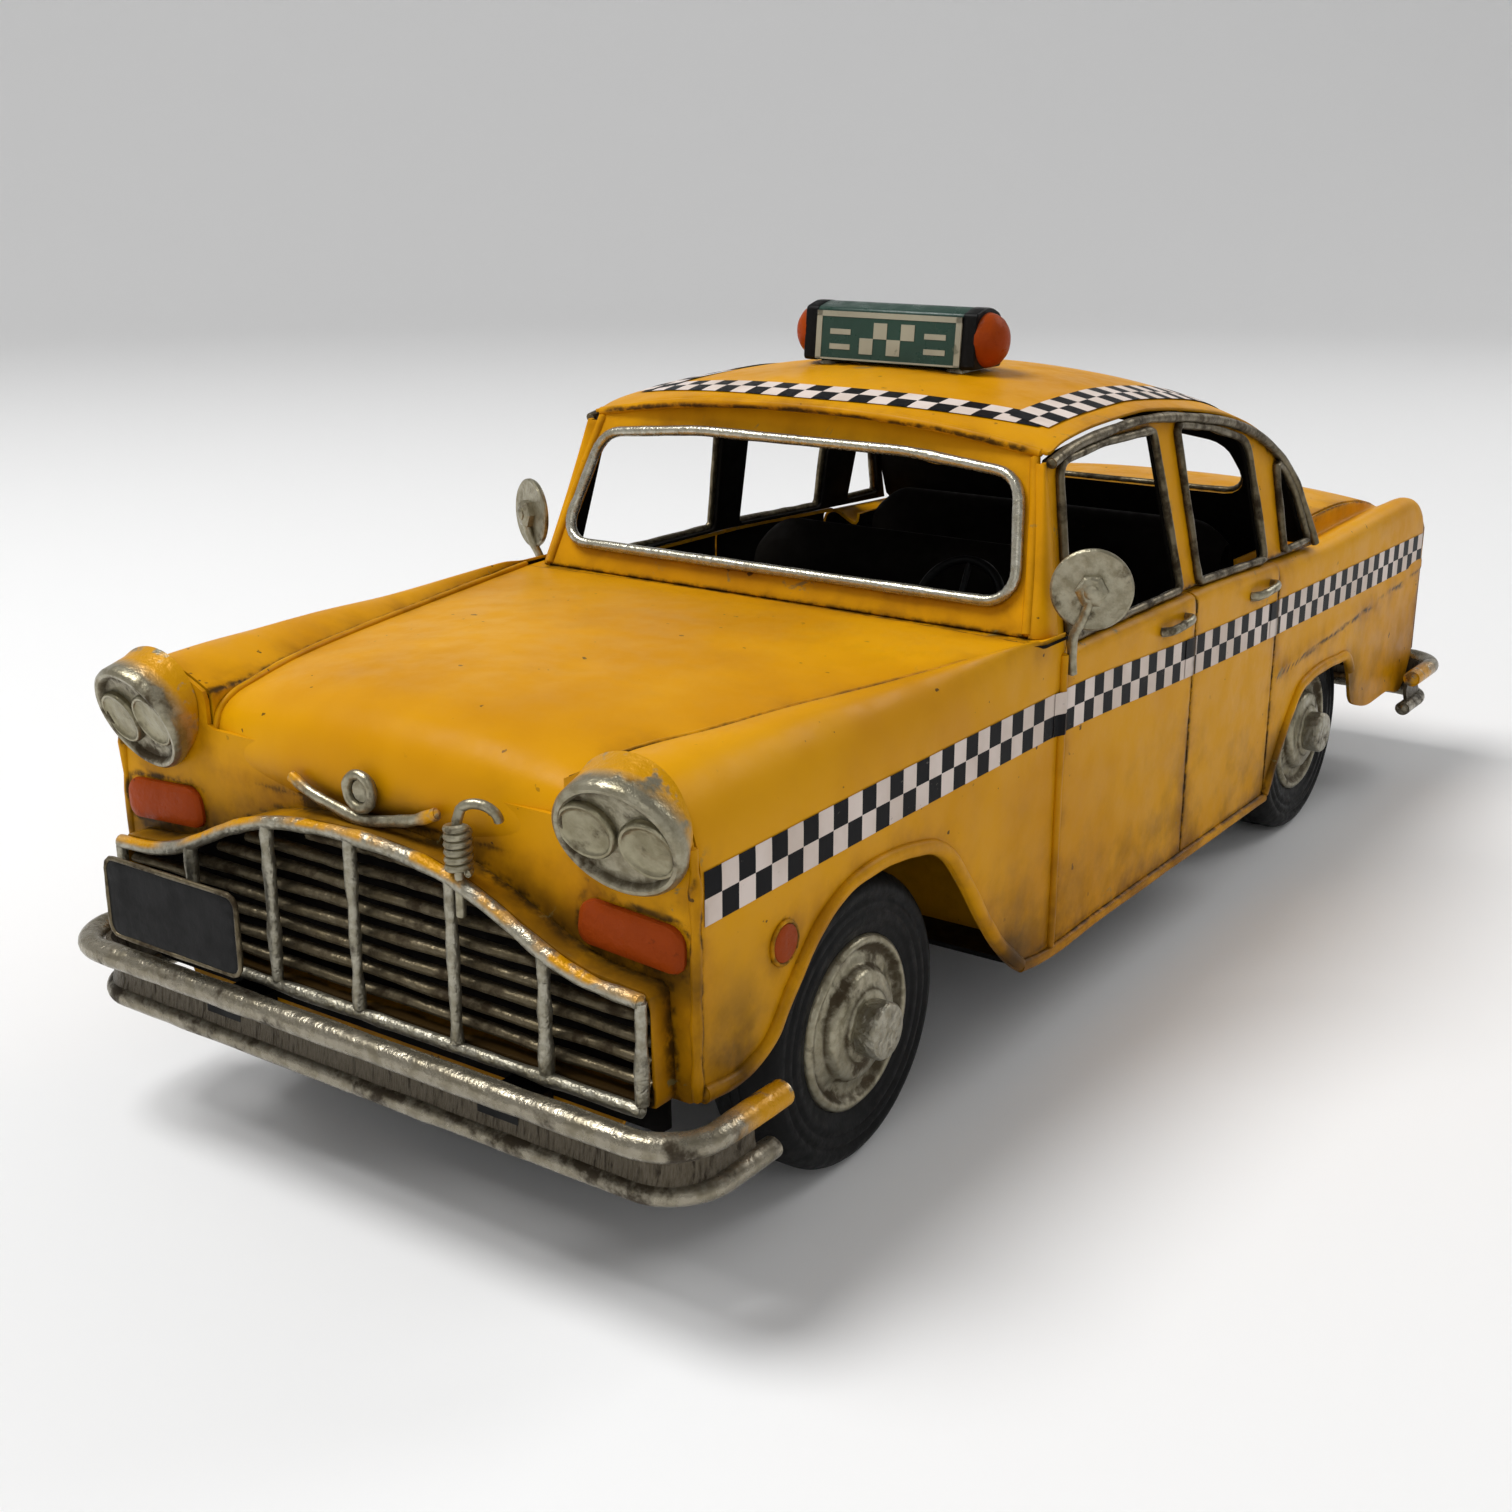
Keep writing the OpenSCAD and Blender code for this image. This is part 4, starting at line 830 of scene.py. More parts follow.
side_outline = [on_slope(p, -0.3) for p in SILL if p[0] < 86] + [[80.8, 0]] \
    + [on_slope(p, 1) for p in DRIP[::-1]] + [[-46.4, 20]]
pair("side_frame", [plate(side_outline, [FRONT_WINDOW, REAR_WINDOW, QUARTER_WINDOW], flank, 1.6)],
    sheet=1.2, bevel=0.25, dark_rim=True)
drip_path = flank(lift2(spline([on_slope(p, 1.6) for p in DRIP], 90), 1.0))
trim_parts = [tube(flank(lift2(evenly(o, 1.5, True), 0.6)), 0.85, flank_out, True, rough=0.08, sides=10)
    for o in (FRONT_WINDOW, REAR_WINDOW, QUARTER_WINDOW)]
trim_parts.append(tube(drip_path, 1.0, flank_out, rough=0.07))
pair("window_trim", trim_parts, [DULL], "wires")

back_outline = [[-56.6, 0], [56.6, 0]]
back_outline += [[p[0] * 0.985, (BACK_Y - p[1]) / sin(BACK_LEAN) - 0.3] for p in rear_edge]
piece("rear_window_frame_skin", [plate(back_outline, [BACK_OPENING], back_glass, 1.9)], SHELL,
    ["rear_window_frame"], sheet=1.0, bevel=0.25)
back_dir = np.array([0, cos(BACK_LEAN), sin(BACK_LEAN)])
piece("rear_window_bead", [tube(back_glass(lift2(evenly(BACK_OPENING, 1.8, True), 0.3)), 0.8, back_dir,
    True, rough=0.06)], [DULL])


# ---------------------------------------------------------------- doors, quarters, tail
def swell(y, z, y0, y1):
    """How far the pressed middle of a door stands proud of its edges."""
    height = min(1, max(0, (z - 18) / 52))
    return 0.25 * sin(pi * (y - y0) / (y1 - y0)) * sin(pi * height)


def door_rows(y0, y1):
    rows = []
    for y in np.linspace(y0, y1, 34):
        z = curve(SILL, y)
        side = [[SIDE_X, y, ROCKER_Z + 0.6 + (z - 3.4 - ROCKER_Z) * k / 30] for k in range(30)]
        top = spline([[SIDE_X, z - 3], [60.5, z - 1.9], [60.1, z - 0.9], [59.2, z - 0.3], [58, z - 0.1],
            [57, z - 0.1]], 9)
        rows.append([[x + swell(y, q, y0, y1), y, q] for x, _, q in side]
            + [[p[0], y, p[1]] for p in top])
    return rows


pair("front_door", [grid(door_rows(DOOR_FRONT + SEAM_GAP, DOOR_MID - SEAM_GAP))], sheet=SHEET,
    bevel=0.22)
pair("rear_door", [grid(door_rows(DOOR_MID + SEAM_GAP, DOOR_REAR - SEAM_GAP))], sheet=SHEET, bevel=0.22)
quarter_y = np.r_[DOOR_REAR + SEAM_GAP, np.linspace(57, 162.5, 84)]
pair("rear_quarter", [grid([quarter_profile(y) for y in quarter_y])], sheet=SHEET, bevel=0.2)
jamb = [[SIDE_X + 0.2, DOOR_FRONT - 1.1, z] for z in np.linspace(ROCKER_Z + 1.5, 75, 40)]
piece("door_jamb_beads", both(tube(jamb, 0.75, ALONG, flat=1.2, rough=0.06)), [YELLOW])

lid_rows = []
for y, ze, zm in [*spline(LID_LINE, 70), (162.45, 48.8, 48.8), (162.45, 47.2, 47.2)]:
    lid_rows.append([[49.4 * u, y, zm - (zm - ze) * abs(u) ** 2.6] for u in np.linspace(1, -1, 61)])
piece("trunk_lid_skin", [grid(lid_rows)], SHELL, ["trunk_lid"], sheet=SHEET, bevel=0.2)
tail_half = [[46, 24], [54, 30.6], [60.5, 30.6], [60.5, 65.6], [58.6, 68.2], [50.2, 66.4], [49.9, 49.2]]
piece("rear_panel_skin", [plate(tail_half + [[-x, z] for x, z in tail_half[::-1]], [],
    facing_back(TAIL_Y), 2.2)], SHELL, ["rear_panel"], sheet=SHEET, bevel=0.2)


# ---------------------------------------------------------------- beads on the lower edges
def bead(line, half):
    """Half-round rolled edge, following a lower edge just outside the side."""
    p = spline(line, int(len(line) * 9))
    t = tangents(p)
    mid = p + half * np.column_stack([-t[:, 1], t[:, 0]])
    path = np.column_stack([np.full(len(mid), SIDE_X + 0.05), mid])
    return tube(path, half, ACROSS, flat=0.85, rough=0.03, sides=14)


front_bead = [p for p in FRONT_ARCH if p[0] < -63]
rear_bead = [p for p in REAR_ARCH if 56 < p[0] < 112]
piece("arch_bead_rolls", both(bead(front_bead, 1.3)) + both(bead(rear_bead, 1.3)), [YELLOW],
    ["arch_beads"])
piece("rocker_bead_rolls", both(bead([[-63.5, 18.2], [-58, 17.4], [-30, 17.4], [20, 17.4],
    [DOOR_REAR + 0.4, 17.4]], 1.15)), [YELLOW], ["rocker_beads"])


# ---------------------------------------------------------------- grille and nose fittings
def arched(rise, half):
    pts = [[min(half, p[0]), p[1] + rise] for p in GRILLE_TOP]
    return [[-x, z] for x, z in pts[::-1]] + pts[1:]


def frame_strip(rise, half, low):
    return [[-half, low]] + arched(rise, half) + [[half, low]]


surround_out = evenly(frame_strip(0.9, 57.2, GRILLE_LOW - 1), 1.5, True)
surround_in = evenly(frame_strip(-0.3, 56.2, GRILLE_LOW - 0.2), 1.5, True)
piece("grille_surround_box", [plate(surround_out, [surround_in], facing_front(GRILLE_Y + 1.2), 1.5)],
    [YELLOW], ["grille_surround"], sheet=4.4, bevel=0.2)


def grille_top(x):
    return np.interp(np.abs(x), *np.transpose(GRILLE_TOP))


def slat_half(z):
    if z < 49:
        return 55.6
    return float(np.interp(-z, [-p[1] + 1.2 for p in GRILLE_TOP], [p[0] for p in GRILLE_TOP]))


slat_section = [[0.85, 0.1], [0.8, 0.75], [0.5, 1.15], [0, 1.3], [-0.5, 1.1], [-0.85, 0.5],
    [-0.8, -0.4], [-0.45, -0.6], [0.15, -0.35], [0.6, -0.3]]
slats = []
for k in range(8):
    z = GRILLE_LOW + 2 + k * 3.3
    w = slat_half(z + 1)
    path = [[x, GRILLE_Y + 3 + 0.12 * sin(x * 0.3 + k), z + 0.15 * sin(x * 0.11 + 2 * k)]
        for x in np.linspace(-w, w, 64)]
    slats.append(sweep(path, slat_section, [0, -1, 0], scale=lumps(64, 0.05)))


def slat_back_shade(at):
    """Painted shade on the undersides and backs of the slats, drawn as the brown wash."""
    return {"groove": np.clip((at[:, 1] - (GRILLE_Y + 2.6)) / 1.4, 0, 1)}


piece("grille_slat_set", slats, [DULL], ["grille_slats"], extra=slat_back_shade)

bars = []
for x in (-37.5, -18.5, 0, 20.5, 38):
    bars.append(tube(line3([x, GRILLE_Y, GRILLE_LOW - 0.2], [x, GRILLE_Y, grille_top(x)], 30), 1.0,
        ALONG, rough=0.13))
rail = [[p[0], GRILLE_Y, p[1]] for p in spline(arched(0, 55.4), 110)]
bars.append(tube(rail, 1.15, ALONG, rough=0.07))
for x in (-55.4, 55.4):
    bars.append(tube(line3([x, GRILLE_Y, GRILLE_LOW], [x, GRILLE_Y, 49.6], 20), 1.0, ALONG, rough=0.1))
bars.append(tube(line3([-55.4, GRILLE_Y, GRILLE_LOW - 1.1], [55.4, GRILLE_Y, GRILLE_LOW - 1.1], 90),
    1.0, ALONG, rough=0.09))


def rail_paint(at):
    top = grille_top(at[:, 0])
    on_rail = (at[:, 2] > top + 0.35) & (at[:, 2] < top + 3)
    spots = 0.5 + 0.5 * np.sin(at[:, 0] * 0.37 + 1.2) * np.sin(at[:, 0] * 0.11)
    return {"paint": on_rail * np.clip(spots * 1.5, 0, 1)}


piece("grille_bar_set", bars, [WELD], ["grille_bars"], extra=rail_paint)

HOOK_X, HOOK_FOOT = 22.6, 60.6
coil = [[HOOK_X + 1.55 * cos(a), GRILLE_Y + 1.55 * sin(a), HOOK_FOOT + 0.8 + a / (2 * pi) * 1.18]
    for a in np.linspace(0, 12 * pi, 150)]
hook = line3([HOOK_X, GRILLE_Y, HOOK_FOOT - 6], [HOOK_X, GRILLE_Y, HOOK_FOOT + 8.5], 16).tolist()
hook += [[HOOK_X + 2.7 + 2.9 * cos(a), GRILLE_Y + 0.6 + k / 6, HOOK_FOOT + 9.2 + 2 * sin(a)]
    for k, a in enumerate(np.radians(np.linspace(150, -10, 14)))]
piece("coil_hook_wire", [tube(coil, 0.62, UP, sides=9), tube(hook, 0.78, [0, 1, 0.2], sides=10)],
    [TRIM], ["coil_hook"])

badge = facing_front(-163.3, 0, 68.4)
vee = spline([[-15.5, -162.8, 67.8], [-11, -163, 66], [-6, -163, 64.8], [-2, -163.2, 64.1],
    [0, -163.2, 63.9], [2, -163.2, 64.1], [6, -163, 64.8], [11, -163, 66], [15.5, -162.8, 67.8]], 60)
disc = lathe([[0, -1.9], [2.1, -1.9], [2.1, -0.5], [1.7, -0.2], [0.9, -0.45], [0, -0.5]], badge, 40)
piece("hood_emblem_wire", [tube(hoop(badge, 2.65, 40), 0.82, ALONG, True, rough=0.06), disc,
    tube(vee, 1.0, ALONG, flat=0.8, rough=0.06)], [TRIM], ["hood_emblem"],
    extra=lambda at: {"paint": np.clip((np.abs(at[:, 0]) - 11.5) / 2.5, 0, 1),
    "groove": ((at[:, 1] > -162.5) & (np.abs(at[:, 0]) < 4)).astype(float)})

lamp_tilt, lamp_turn = radians(20), radians(5)
lamp_axes = Matrix.Rotation(lamp_turn, 3, "Z") @ Matrix.Rotation(pi / 2 + lamp_tilt, 3, "X")
lamp = frame_of(LAMP, *[lamp_axes.col[k] for k in range(3)])
LAMP_SLOTS = ([-4.9, 0.7], [4.9, -0.7])
bezel = lathe([[10.0, -9], [10.35, -5], [10.5, -1.6], [10.55, -0.7], [10.3, 0.0], [9.8, 0.35],
    [9.2, 0.3], [8.8, -0.1], [8.5, -0.8], [7, -1.0], [4, -1.0], [0, -1.0]], lamp, 84, LAMP_SQUASH)
bezel[0][:, 1] = np.minimum(bezel[0][:, 1], NOSE_Y - 0.1)


def at_slot(s):
    return lambda p: lamp(np.asarray(p) + [s[0], s[1], 0])


def lamp_groove(at):
    local = (at * np.where(at[:, :1] < 0, [[-1, 1, 1]], [[1, 1, 1]]) - LAMP) @ np.array(lamp_axes)
    r = np.hypot(local[:, 0], local[:, 1] / LAMP_SQUASH)
    inner = np.exp(-((r - 8.6) / 0.5) ** 2)
    behind = (local[:, 2] < -1.9) & (r > 9.4)
    return {"groove": np.clip(inner + 0.25 * (r < 8.4), 0, 1), "paint": 1.3 * behind}


piece("headlight_bezel_rings", both(bezel), [TRIM], ["headlight_bezels"], extra=lamp_groove)
glass = []
for s in LAMP_SLOTS:
    glass += both(lathe([[4.6, -1.3], [4.78, -0.6], [4.72, -0.1], [4.45, 0.2], [4.1, 0.15],
        [3.85, -0.2], [3.2, -0.42], [1.5, -0.3], [0, -0.25]], at_slot(s), 56))
piece("headlight_disc_set", glass, [LENS], ["headlight_lenses"],
    extra=lambda at: {"groove": np.zeros(len(at))})
ind_outline = evenly(rounded([[39.9, 53.4, 2], [58.9, 52.2, 2], [59.2, 59.2, 3], [40.8, 60.4, 3]]), 1,
    True)
piece("indicator_pads", both(cushion(ind_outline, facing_front(NOSE_Y - 0.1), 0.9, 0.5)), [LAMP_RED],
    ["indicators"])
piece("side_marker_buttons", both(cushion(ring(3.0, n=36), facing_left(SIDE_X, MARKER_Y, MARKER_Z), 0.5,
    0.25)), [LAMP_RED], ["side_markers"])
marker_ring = hoop(facing_left(SIDE_X + 0.2, MARKER_Y, MARKER_Z), 3.25)
piece("side_marker_rims", both(tube(marker_ring, 0.35, ACROSS, True)), [YELLOW])
tail, tail_rims = [], []
for x, z in TAIL_LAMPS:
    tail += both(cushion(ring(3.5, n=36), facing_back(TAIL_Y, x, z), 1.1, 0.6))
    tail_rims += both(tube(hoop(facing_back(TAIL_Y + 0.4, x, z), 3.8, 40), 0.45, ALONG, True))
piece("tail_lamp_buttons", tail, [LAMP_RED], ["tail_lamps"])
piece("tail_lamp_rims", tail_rims, [TRIM])

# ---------------------------------------------------------------- bumpers and plate
FACE, RAIL_HALF, CORNER, RETURN = 173.3, 65.8, 9.0, 24.0


def bumper_path(y, half, reach):
    arc = [[half - CORNER + CORNER * sin(a), y - CORNER + CORNER * cos(a)]
        for a in np.linspace(0, pi / 2, 12)]
    right = [[x, y] for x in np.linspace(0, half - CORNER, 40)][:-1] + arc \
        + [[half, y - CORNER - reach * k / 8] for k in range(1, 9)]
    return np.array([[-x, q] for x, q in right[::-1]] + right[1:])


def bumper_parts(z_low, z_high, front):
    sign = -1 if front else 1
    rails = []
    for z, r, back in ((z_low, 1.9, 3.2), (z_high, 2.2, 0.0)):
        p = bumper_path(FACE - 2.2 - back, RAIL_HALF - back / 2, RETURN - CORNER - back)
        path = np.column_stack([p[:, 0], sign * p[:, 1], np.full(len(p), z)])
        rails.append(tube(path, r, UP, flat=0.92, rough=0.025, sides=18))
    p = bumper_path(FACE - 4.3, RAIL_HALF - 1.2, RETURN - CORNER - 6)
    t = tangents(p)
    inward = np.column_stack([t[:, 1], -t[:, 0]])
    web = []
    for k in np.linspace(0, 1, 9):
        q = p + inward * (0.9 * sin(pi * k))
        web.append(np.column_stack([q[:, 0], sign * q[:, 1], np.full(len(q),
            z_low + (z_high - z_low) * k)]))
    return rails, grid(web)


def rail_marks_and_shade(z_low, z_high):
    def worn(at):
        end = np.clip((FACE - 12 - np.abs(at[:, 1])) / 6, 0, 1)
        low = np.abs(at[:, 2] - z_low) < 2.4
        # painted shade under the upper rail; the line just above the lower rail is dirt in the joint
        under = np.clip((z_high - 0.9 - at[:, 2]) / 0.9, 0, 1) * (at[:, 2] > z_high - 2.4)
        seam_line = np.exp(-((at[:, 2] - z_low - 1.3) / 0.45) ** 2)
        return {"paint": end * (~low), "groove": np.clip(under * 0.7 + seam_line * 0.8, 0, 1)}
    return worn


for label, z_low, z_high, front in (("front", 22, 31.2, True), ("rear", 18.8, 27.2, False)):
    rails, web = bumper_parts(z_low, z_high, front)
    piece(f"{label}_bumper_rails", rails, [BUMPER], [f"{label}_bumper"], extra=rail_marks_and_shade(z_low, z_high))
    piece(f"{label}_bumper_web", [web], [BRUSHED], sheet=0.9, centre=(0, 0, (z_low + z_high) / 2))

plate_outline = evenly(rounded([[-50.6, 36.6, 2], [-18.8, 36.6, 2], [-18.8, 50.2, 2],
    [-50.6, 50.2, 2]]), 1.2, True)
piece("number_plate_blank", [plate(plate_outline, [], facing_front(-173.1), 2.5)], [BLACK],
    ["number_plate"], sheet=0.9, bevel=0.2, centre=(-34, 0, 43))
plate_rim = facing_front(-172.9)(lift2(plate_outline, 0))
piece("number_plate_rim", [tube(plate_rim, 0.42, ALONG, True, rough=0.1),
    tube(line3([-34.7, -172, 40.5], [-34.7, -166.4, 40.5], 6), 1.0, UP)], [DULL])

# ---------------------------------------------------------------- mirrors, handles, sign
MIRROR = np.array([64.6, -50, 87])
turn = Matrix.Rotation(radians(24), 3, "Z") @ Matrix.Rotation(pi / 2, 3, "X")
mirror_face = frame_of(MIRROR, *[turn.col[k] for k in range(3)])
dish = lathe([[0, 0.2], [3, 0.15], [6.4, 0.0], [7.1, -0.15], [7.3, 0.25], [7.25, 0.75], [6.9, 1.05],
    [6.3, 0.95], [3, 1.1], [0, 1.15]], mirror_face, 60)
nut = lathe([[0, 3.0], [1.5, 3.0], [2.4, 2.8], [2.95, 2.3], [3.0, 1.0]], mirror_face, 6)
stud = lathe([[0, 3.5], [0.9, 3.45], [1.3, 3.2], [1.3, 2.4]], mirror_face, 24)
stem = spline(MIRROR + np.array([[0.9, -2, -1], [-0.6, -1.8, -5], [-2.4, -1.4, -8.5], [-3, -0.4, -11.5],
    [-3.1, 0.4, -15.8]]), 26)
mirror_parts = [dish, nut, stud, tube(stem, 0.85, ALONG, rough=0.05)]
pair("mirror", mirror_parts, [TRIM], "assembly")
handles = []
for y, z in HANDLES:
    bar = spline([[SIDE_X + 0.1, y - 5.4, z - 0.8], [SIDE_X + 1.7, y - 4.6, z - 0.5],
        [SIDE_X + 2.4, y - 3, z - 0.2], [SIDE_X + 2.5, y, z], [SIDE_X + 2.3, y + 4, z + 0.2],
        [SIDE_X + 1.6, y + 5.6, z + 0.2], [SIDE_X + 0.1, y + 6.2, z + 0.1]], 34)
    handles += both(tube(bar, 0.78, UP, flat=1.25, rough=0.05))
piece("door_handle_set", handles, [TRIM], ["door_handles"])

sign_section = rounded([[SIGN_Y - 6, SIGN_Z + 2.4, 0.8], [SIGN_Y + 6, SIGN_Z + 2.4, 0.8],
    [SIGN_Y + 6, SIGN_Z + 12.6, 3], [SIGN_Y + 0.5, SIGN_Z + 14.8, 8], [SIGN_Y - 4.9, SIGN_Z + 13.3, 1]])
piece("sign_box", [prism_x(sign_section, [-17.05, 0, 17.05], [0.975, 0.975, 0.975])], [GREEN],
    ["sign_body"], bevel=0.15)
cap = prism_x(sign_section, [17.0, 17.15, 18.5, 19.4, 19.9, 20.05],
    [0.97, 0.99, 0.99, 0.99, 0.98, 0.95])
piece("sign_cap_ends", both(cap), [BLACK], ["sign_caps"])
dome = lathe([[5.4, 19.8], [5.38, 20.3], [5.15, 21.2], [4.6, 22.3], [3.6, 23.2], [2.2, 23.8],
    [1.0, 24.05], [0, 24.1]], facing_left(0, SIGN_Y, SIGN_Z + 8), 48)
piece("sign_dome_lamps", both(dome), [LAMP_RED], ["sign_lamps"])
foot = cushion(rounded([[-2, -4.4, 0.8], [2, -4.4, 0.8], [2, 3.6, 0.8], [-2, 3.6, 0.8]]),
    frame_of([15, SIGN_Y, SIGN_Z + 1.5], ACROSS, ALONG, UP), 0.9, 0.05)
piece("sign_foot_pads", both(foot), [TRIM], ["sign_feet"], washed=True)


def sign_face(front):
    """Maps [across, up] on a sign face to space, following its slight lean."""
    lean = 1.05 if front else 0.0
    edge = SIGN_Y - 6 if front else SIGN_Y + 6
    sign = -1 if front else 1

    def put(p):
        p = np.asarray(p, float)
        y = edge - sign * lean * p[:, 1] / 10.8 + sign * p[:, 2]
        return np.column_stack([p[:, 0], y, SIGN_Z + 2.4 + p[:, 1]])
    return put


def tile(x0, x1, z0, z1, put, proud=0.2):
    corners = [[x0, z0], [x1, z0], [x1, z1], [x0, z1]]
    verts, faces = loft([lift2(corners, h) for h in (-0.2, proud)])
    return put(verts), faces


tiles, backs = [], []
for front in (True, False):
    put, low, high = sign_face(front), 0.5, (10.2 if front else 7.6)
    backs.append(tile(-16.9, 16.9, low, high, put, 0.1))
    tiles += [tile(-17, 17, high - 1.1, high, put), tile(-17, 17, low, low + 0.35, put),
        tile(-17, -15.7, low, high, put), tile(15.7, 17, low, high, put)]
    low, high = low + 0.1, high - 0.7
    size = (high - low - 2.6) / 2
    for col in range(4):
        row = col % 2
        x = (col - 2) * size * 1.02
        tiles.append(tile(x, x + size, low + 1.3 + row * size, low + 1.3 + (row + 1) * size, put))
    for side in (-1, 1):
        for k in range(2):
            z = low + 2.0 + k * size * 0.95
            x = sorted((side * 8.7, side * 13.6))
            tiles.append(tile(x[0], x[1], z, z + size * 0.34, put))
piece("sign_print", tiles, [CREAM])
piece("sign_faces", backs, [GREEN])


# ---------------------------------------------------------------- printed chequer stripes
def side_xs(y, zs):
    """How far out the side skin is at those heights."""
    if y > -59:
        return [SIDE_X] * len(zs)
    section = np.array([fender_point(y, t) for t in np.linspace(0.6, 2, 40)])
    return np.interp(zs, section[:, 2], section[:, 0])


def strip(name, rows, uv_rows):
    """A printed stripe: points in space, and where each lies on the print in squares."""
    piece(name, [grid(rows)], [CHEQUER], uv=np.asarray(uv_rows, float).reshape(-1, 2))


def door_swell(y, z):
    for y0, y1 in ((DOOR_FRONT, DOOR_MID), (DOOR_MID, DOOR_REAR)):
        if y0 < y < y1:
            return swell(y, z, y0, y1)
    return 0.0


def side_stripe(y0, y1, sign, lift, over_jamb=0.0):
    ys = np.linspace(y0, y1, int(round(y1 - y0)) + 1)
    rows, flat = [], []
    for y in ys:
        top = curve(STRIPE_TOP, y)
        zs = [top - 2 * SQUARE * k / 6 for k in range(7)]
        out_by = lift + over_jamb * exp(-((y - DOOR_FRONT + 1.1) / 1.3) ** 2)
        rows.append([[sign * (x + door_swell(y, z) + out_by), y, z] for x, z in zip(side_xs(y, zs),
            zs)])
        flat.append([[(y - SIDE_PRINT_Y) / SQUARE + 1, 2 - 2 * k / 6] for k in range(7)])
    return rows, flat


for side, sign in (("left", 1), ("right", -1)):
    for k, (y0, y1) in enumerate(((SIDE_PRINT_Y, -51.4), (-50.2, 8.1), (8.9, 55.1), (55.9, 162))):
        strip(f"side_chequer_{side}_{k}", *side_stripe(y0, y1, sign, DECAL_LIFT))
    for k, (y0, first) in enumerate(((-54.6, 0), (3.8, 1), (50.9, 1))):
        rows, flat = side_stripe(y0, y0 + 4.6, sign, DECAL_LIFT + 0.12, 0.85)
        flat = [[[first + 0.01 + 0.98 * i / (len(flat) - 1), p[1]] for p in row]
            for i, row in enumerate(flat)]
        strip(f"side_chequer_patch_{side}_{k}", rows, flat)


def roof_z(x, y):
    """Height of the roof skin over a point."""
    row = y
    for _ in range(3):
        u = abs(x) / (side_plane_x(curve(DRIP, row) + 0.5) + 0.4)
        row = y - 2.2 * u * u * max(0.0, (row + 36) / -10)
    return roof_point(row, u)[2]


def band_edge(y):
    """Outer edge of the roof's side bands."""
    return 47.5 - 2.2 * max(0.0, (y - 10) / 40) ** 1.5


front_band, front_flat = [], []
for x in np.arange(-46, 46.01, 1.0):
    y0 = -44.8 + 8.8 * (x / 47) ** 2
    front_band.append([[x, y0 + 2 * SQUARE * k / 6, roof_z(x, y0 + 2 * SQUARE * k / 6) + 0.22]
        for k in range(7)])
    front_flat.append([[(x + 46) / SQUARE, 2 * k / 6] for k in range(7)])
strip("roof_chequer_front", front_band, front_flat)
for side, sign in (("left", 1), ("right", -1)):
    rows, flat = [], []
    for y in np.arange(ROOF_PRINT_Y, 56.7, 1.0):
        xs = [band_edge(y) - 2 * SQUARE * k / 6 for k in range(7)]
        rows.append([[sign * x, y, roof_z(x, y) + 0.3] for x in xs])
        flat.append([[(y - ROOF_PRINT_Y) / SQUARE + 1, 2 * k / 6] for k in range(7)])
    strip(f"roof_chequer_{side}", rows, flat)


# ---------------------------------------------------------------- cabin
def bench(path, half, pleat_low, pleat_high):
    """A folded tin bench with pressed pleats and rounded upper corners."""
    line = spline(path, 90)
    rows = []
    top = max(p[1] for p in path)
    for x in np.linspace(-half, half, 93):
        drop = max(0.0, abs(x) - (half - 9)) ** 2 / 81 * 5
        row = []
        for y, z in line:
            up = max(0.0, (z - (top - 22)) / 22)
            press = 0.5 * abs(sin(x * pi / 9)) if pleat_low < y < pleat_high and z > 46 else 0
            row.append([x, y - press * 0.6, z - drop * up - press * 0.5])
        rows.append(row)
    return grid(rows)


front_path = [[13.4, 19.1], [13.2, 40], [12.6, 76], [11.4, 79], [9, 80], [7, 78.6], [4, 64], [1, 49],
    [-1.5, 45.6], [-5, 45], [-15, 46.6], [-18.6, 45.4], [-20, 42], [-20, 30], [-20, 19.1]]
rear_path = [[63, 60], [63.4, 76], [62.4, 79], [60, 80], [58, 78.6], [55.4, 68], [52.6, 58], [50, 55],
    [46, 54.4], [33, 56], [29.4, 55], [28, 52], [28, 36], [28, 19.1]]
piece("front_bench", [bench(front_path, 46, -14, 8)], [INSIDE], ["front_seat"], sheet=0.9,
    centre=(0, 5, 30))
piece("rear_bench", [bench(rear_path, 46, 30, 58)], [INSIDE], ["rear_seat"], sheet=0.9,
    centre=(0, 50, 40))
dash_line = spline([[-38.6, 62], [-37, 64], [-37, 72], [-39, 76.4], [-44, 79], [-50.1, 79.9]], 26)
dash_rows = [[[x, y + 1.1 * exp(-((x - 26) / 9) ** 2) * sin(pi * min(1, (z - 62) / 17)), z]
    for y, z in dash_line] for x in np.linspace(-52, 52, 70)]
piece("dash_shelf", [grid(dash_rows)], [INSIDE], ["dashboard"], sheet=0.9, centre=(0, -60, 40))
helm_axes = Matrix.Rotation(radians(62), 3, "X")
helm = frame_of([26, -28, 75], *[helm_axes.col[k] for k in range(3)])
helm_up = np.array(helm_axes.col[2])
helm_parts = [tube(hoop(helm, 9.2, 60), 0.9, helm_up, True)]
for a in np.radians([90, 210, 330]):
    spoke = np.array([cos(a), sin(a), 0])
    helm_parts.append(tube(helm(line3(1.2 * spoke, 8.8 * spoke, 8)), 0.6, helm_up))
helm_parts += [lathe([[0, 1.2], [1.5, 1.1], [1.8, 0.6], [1.8, -1.2], [0.9, -1.3], [0.9, -10.4],
    [0, -10.4]], helm, 32)]
piece("helm", helm_parts, [BLACK], ["steering_wheel"])


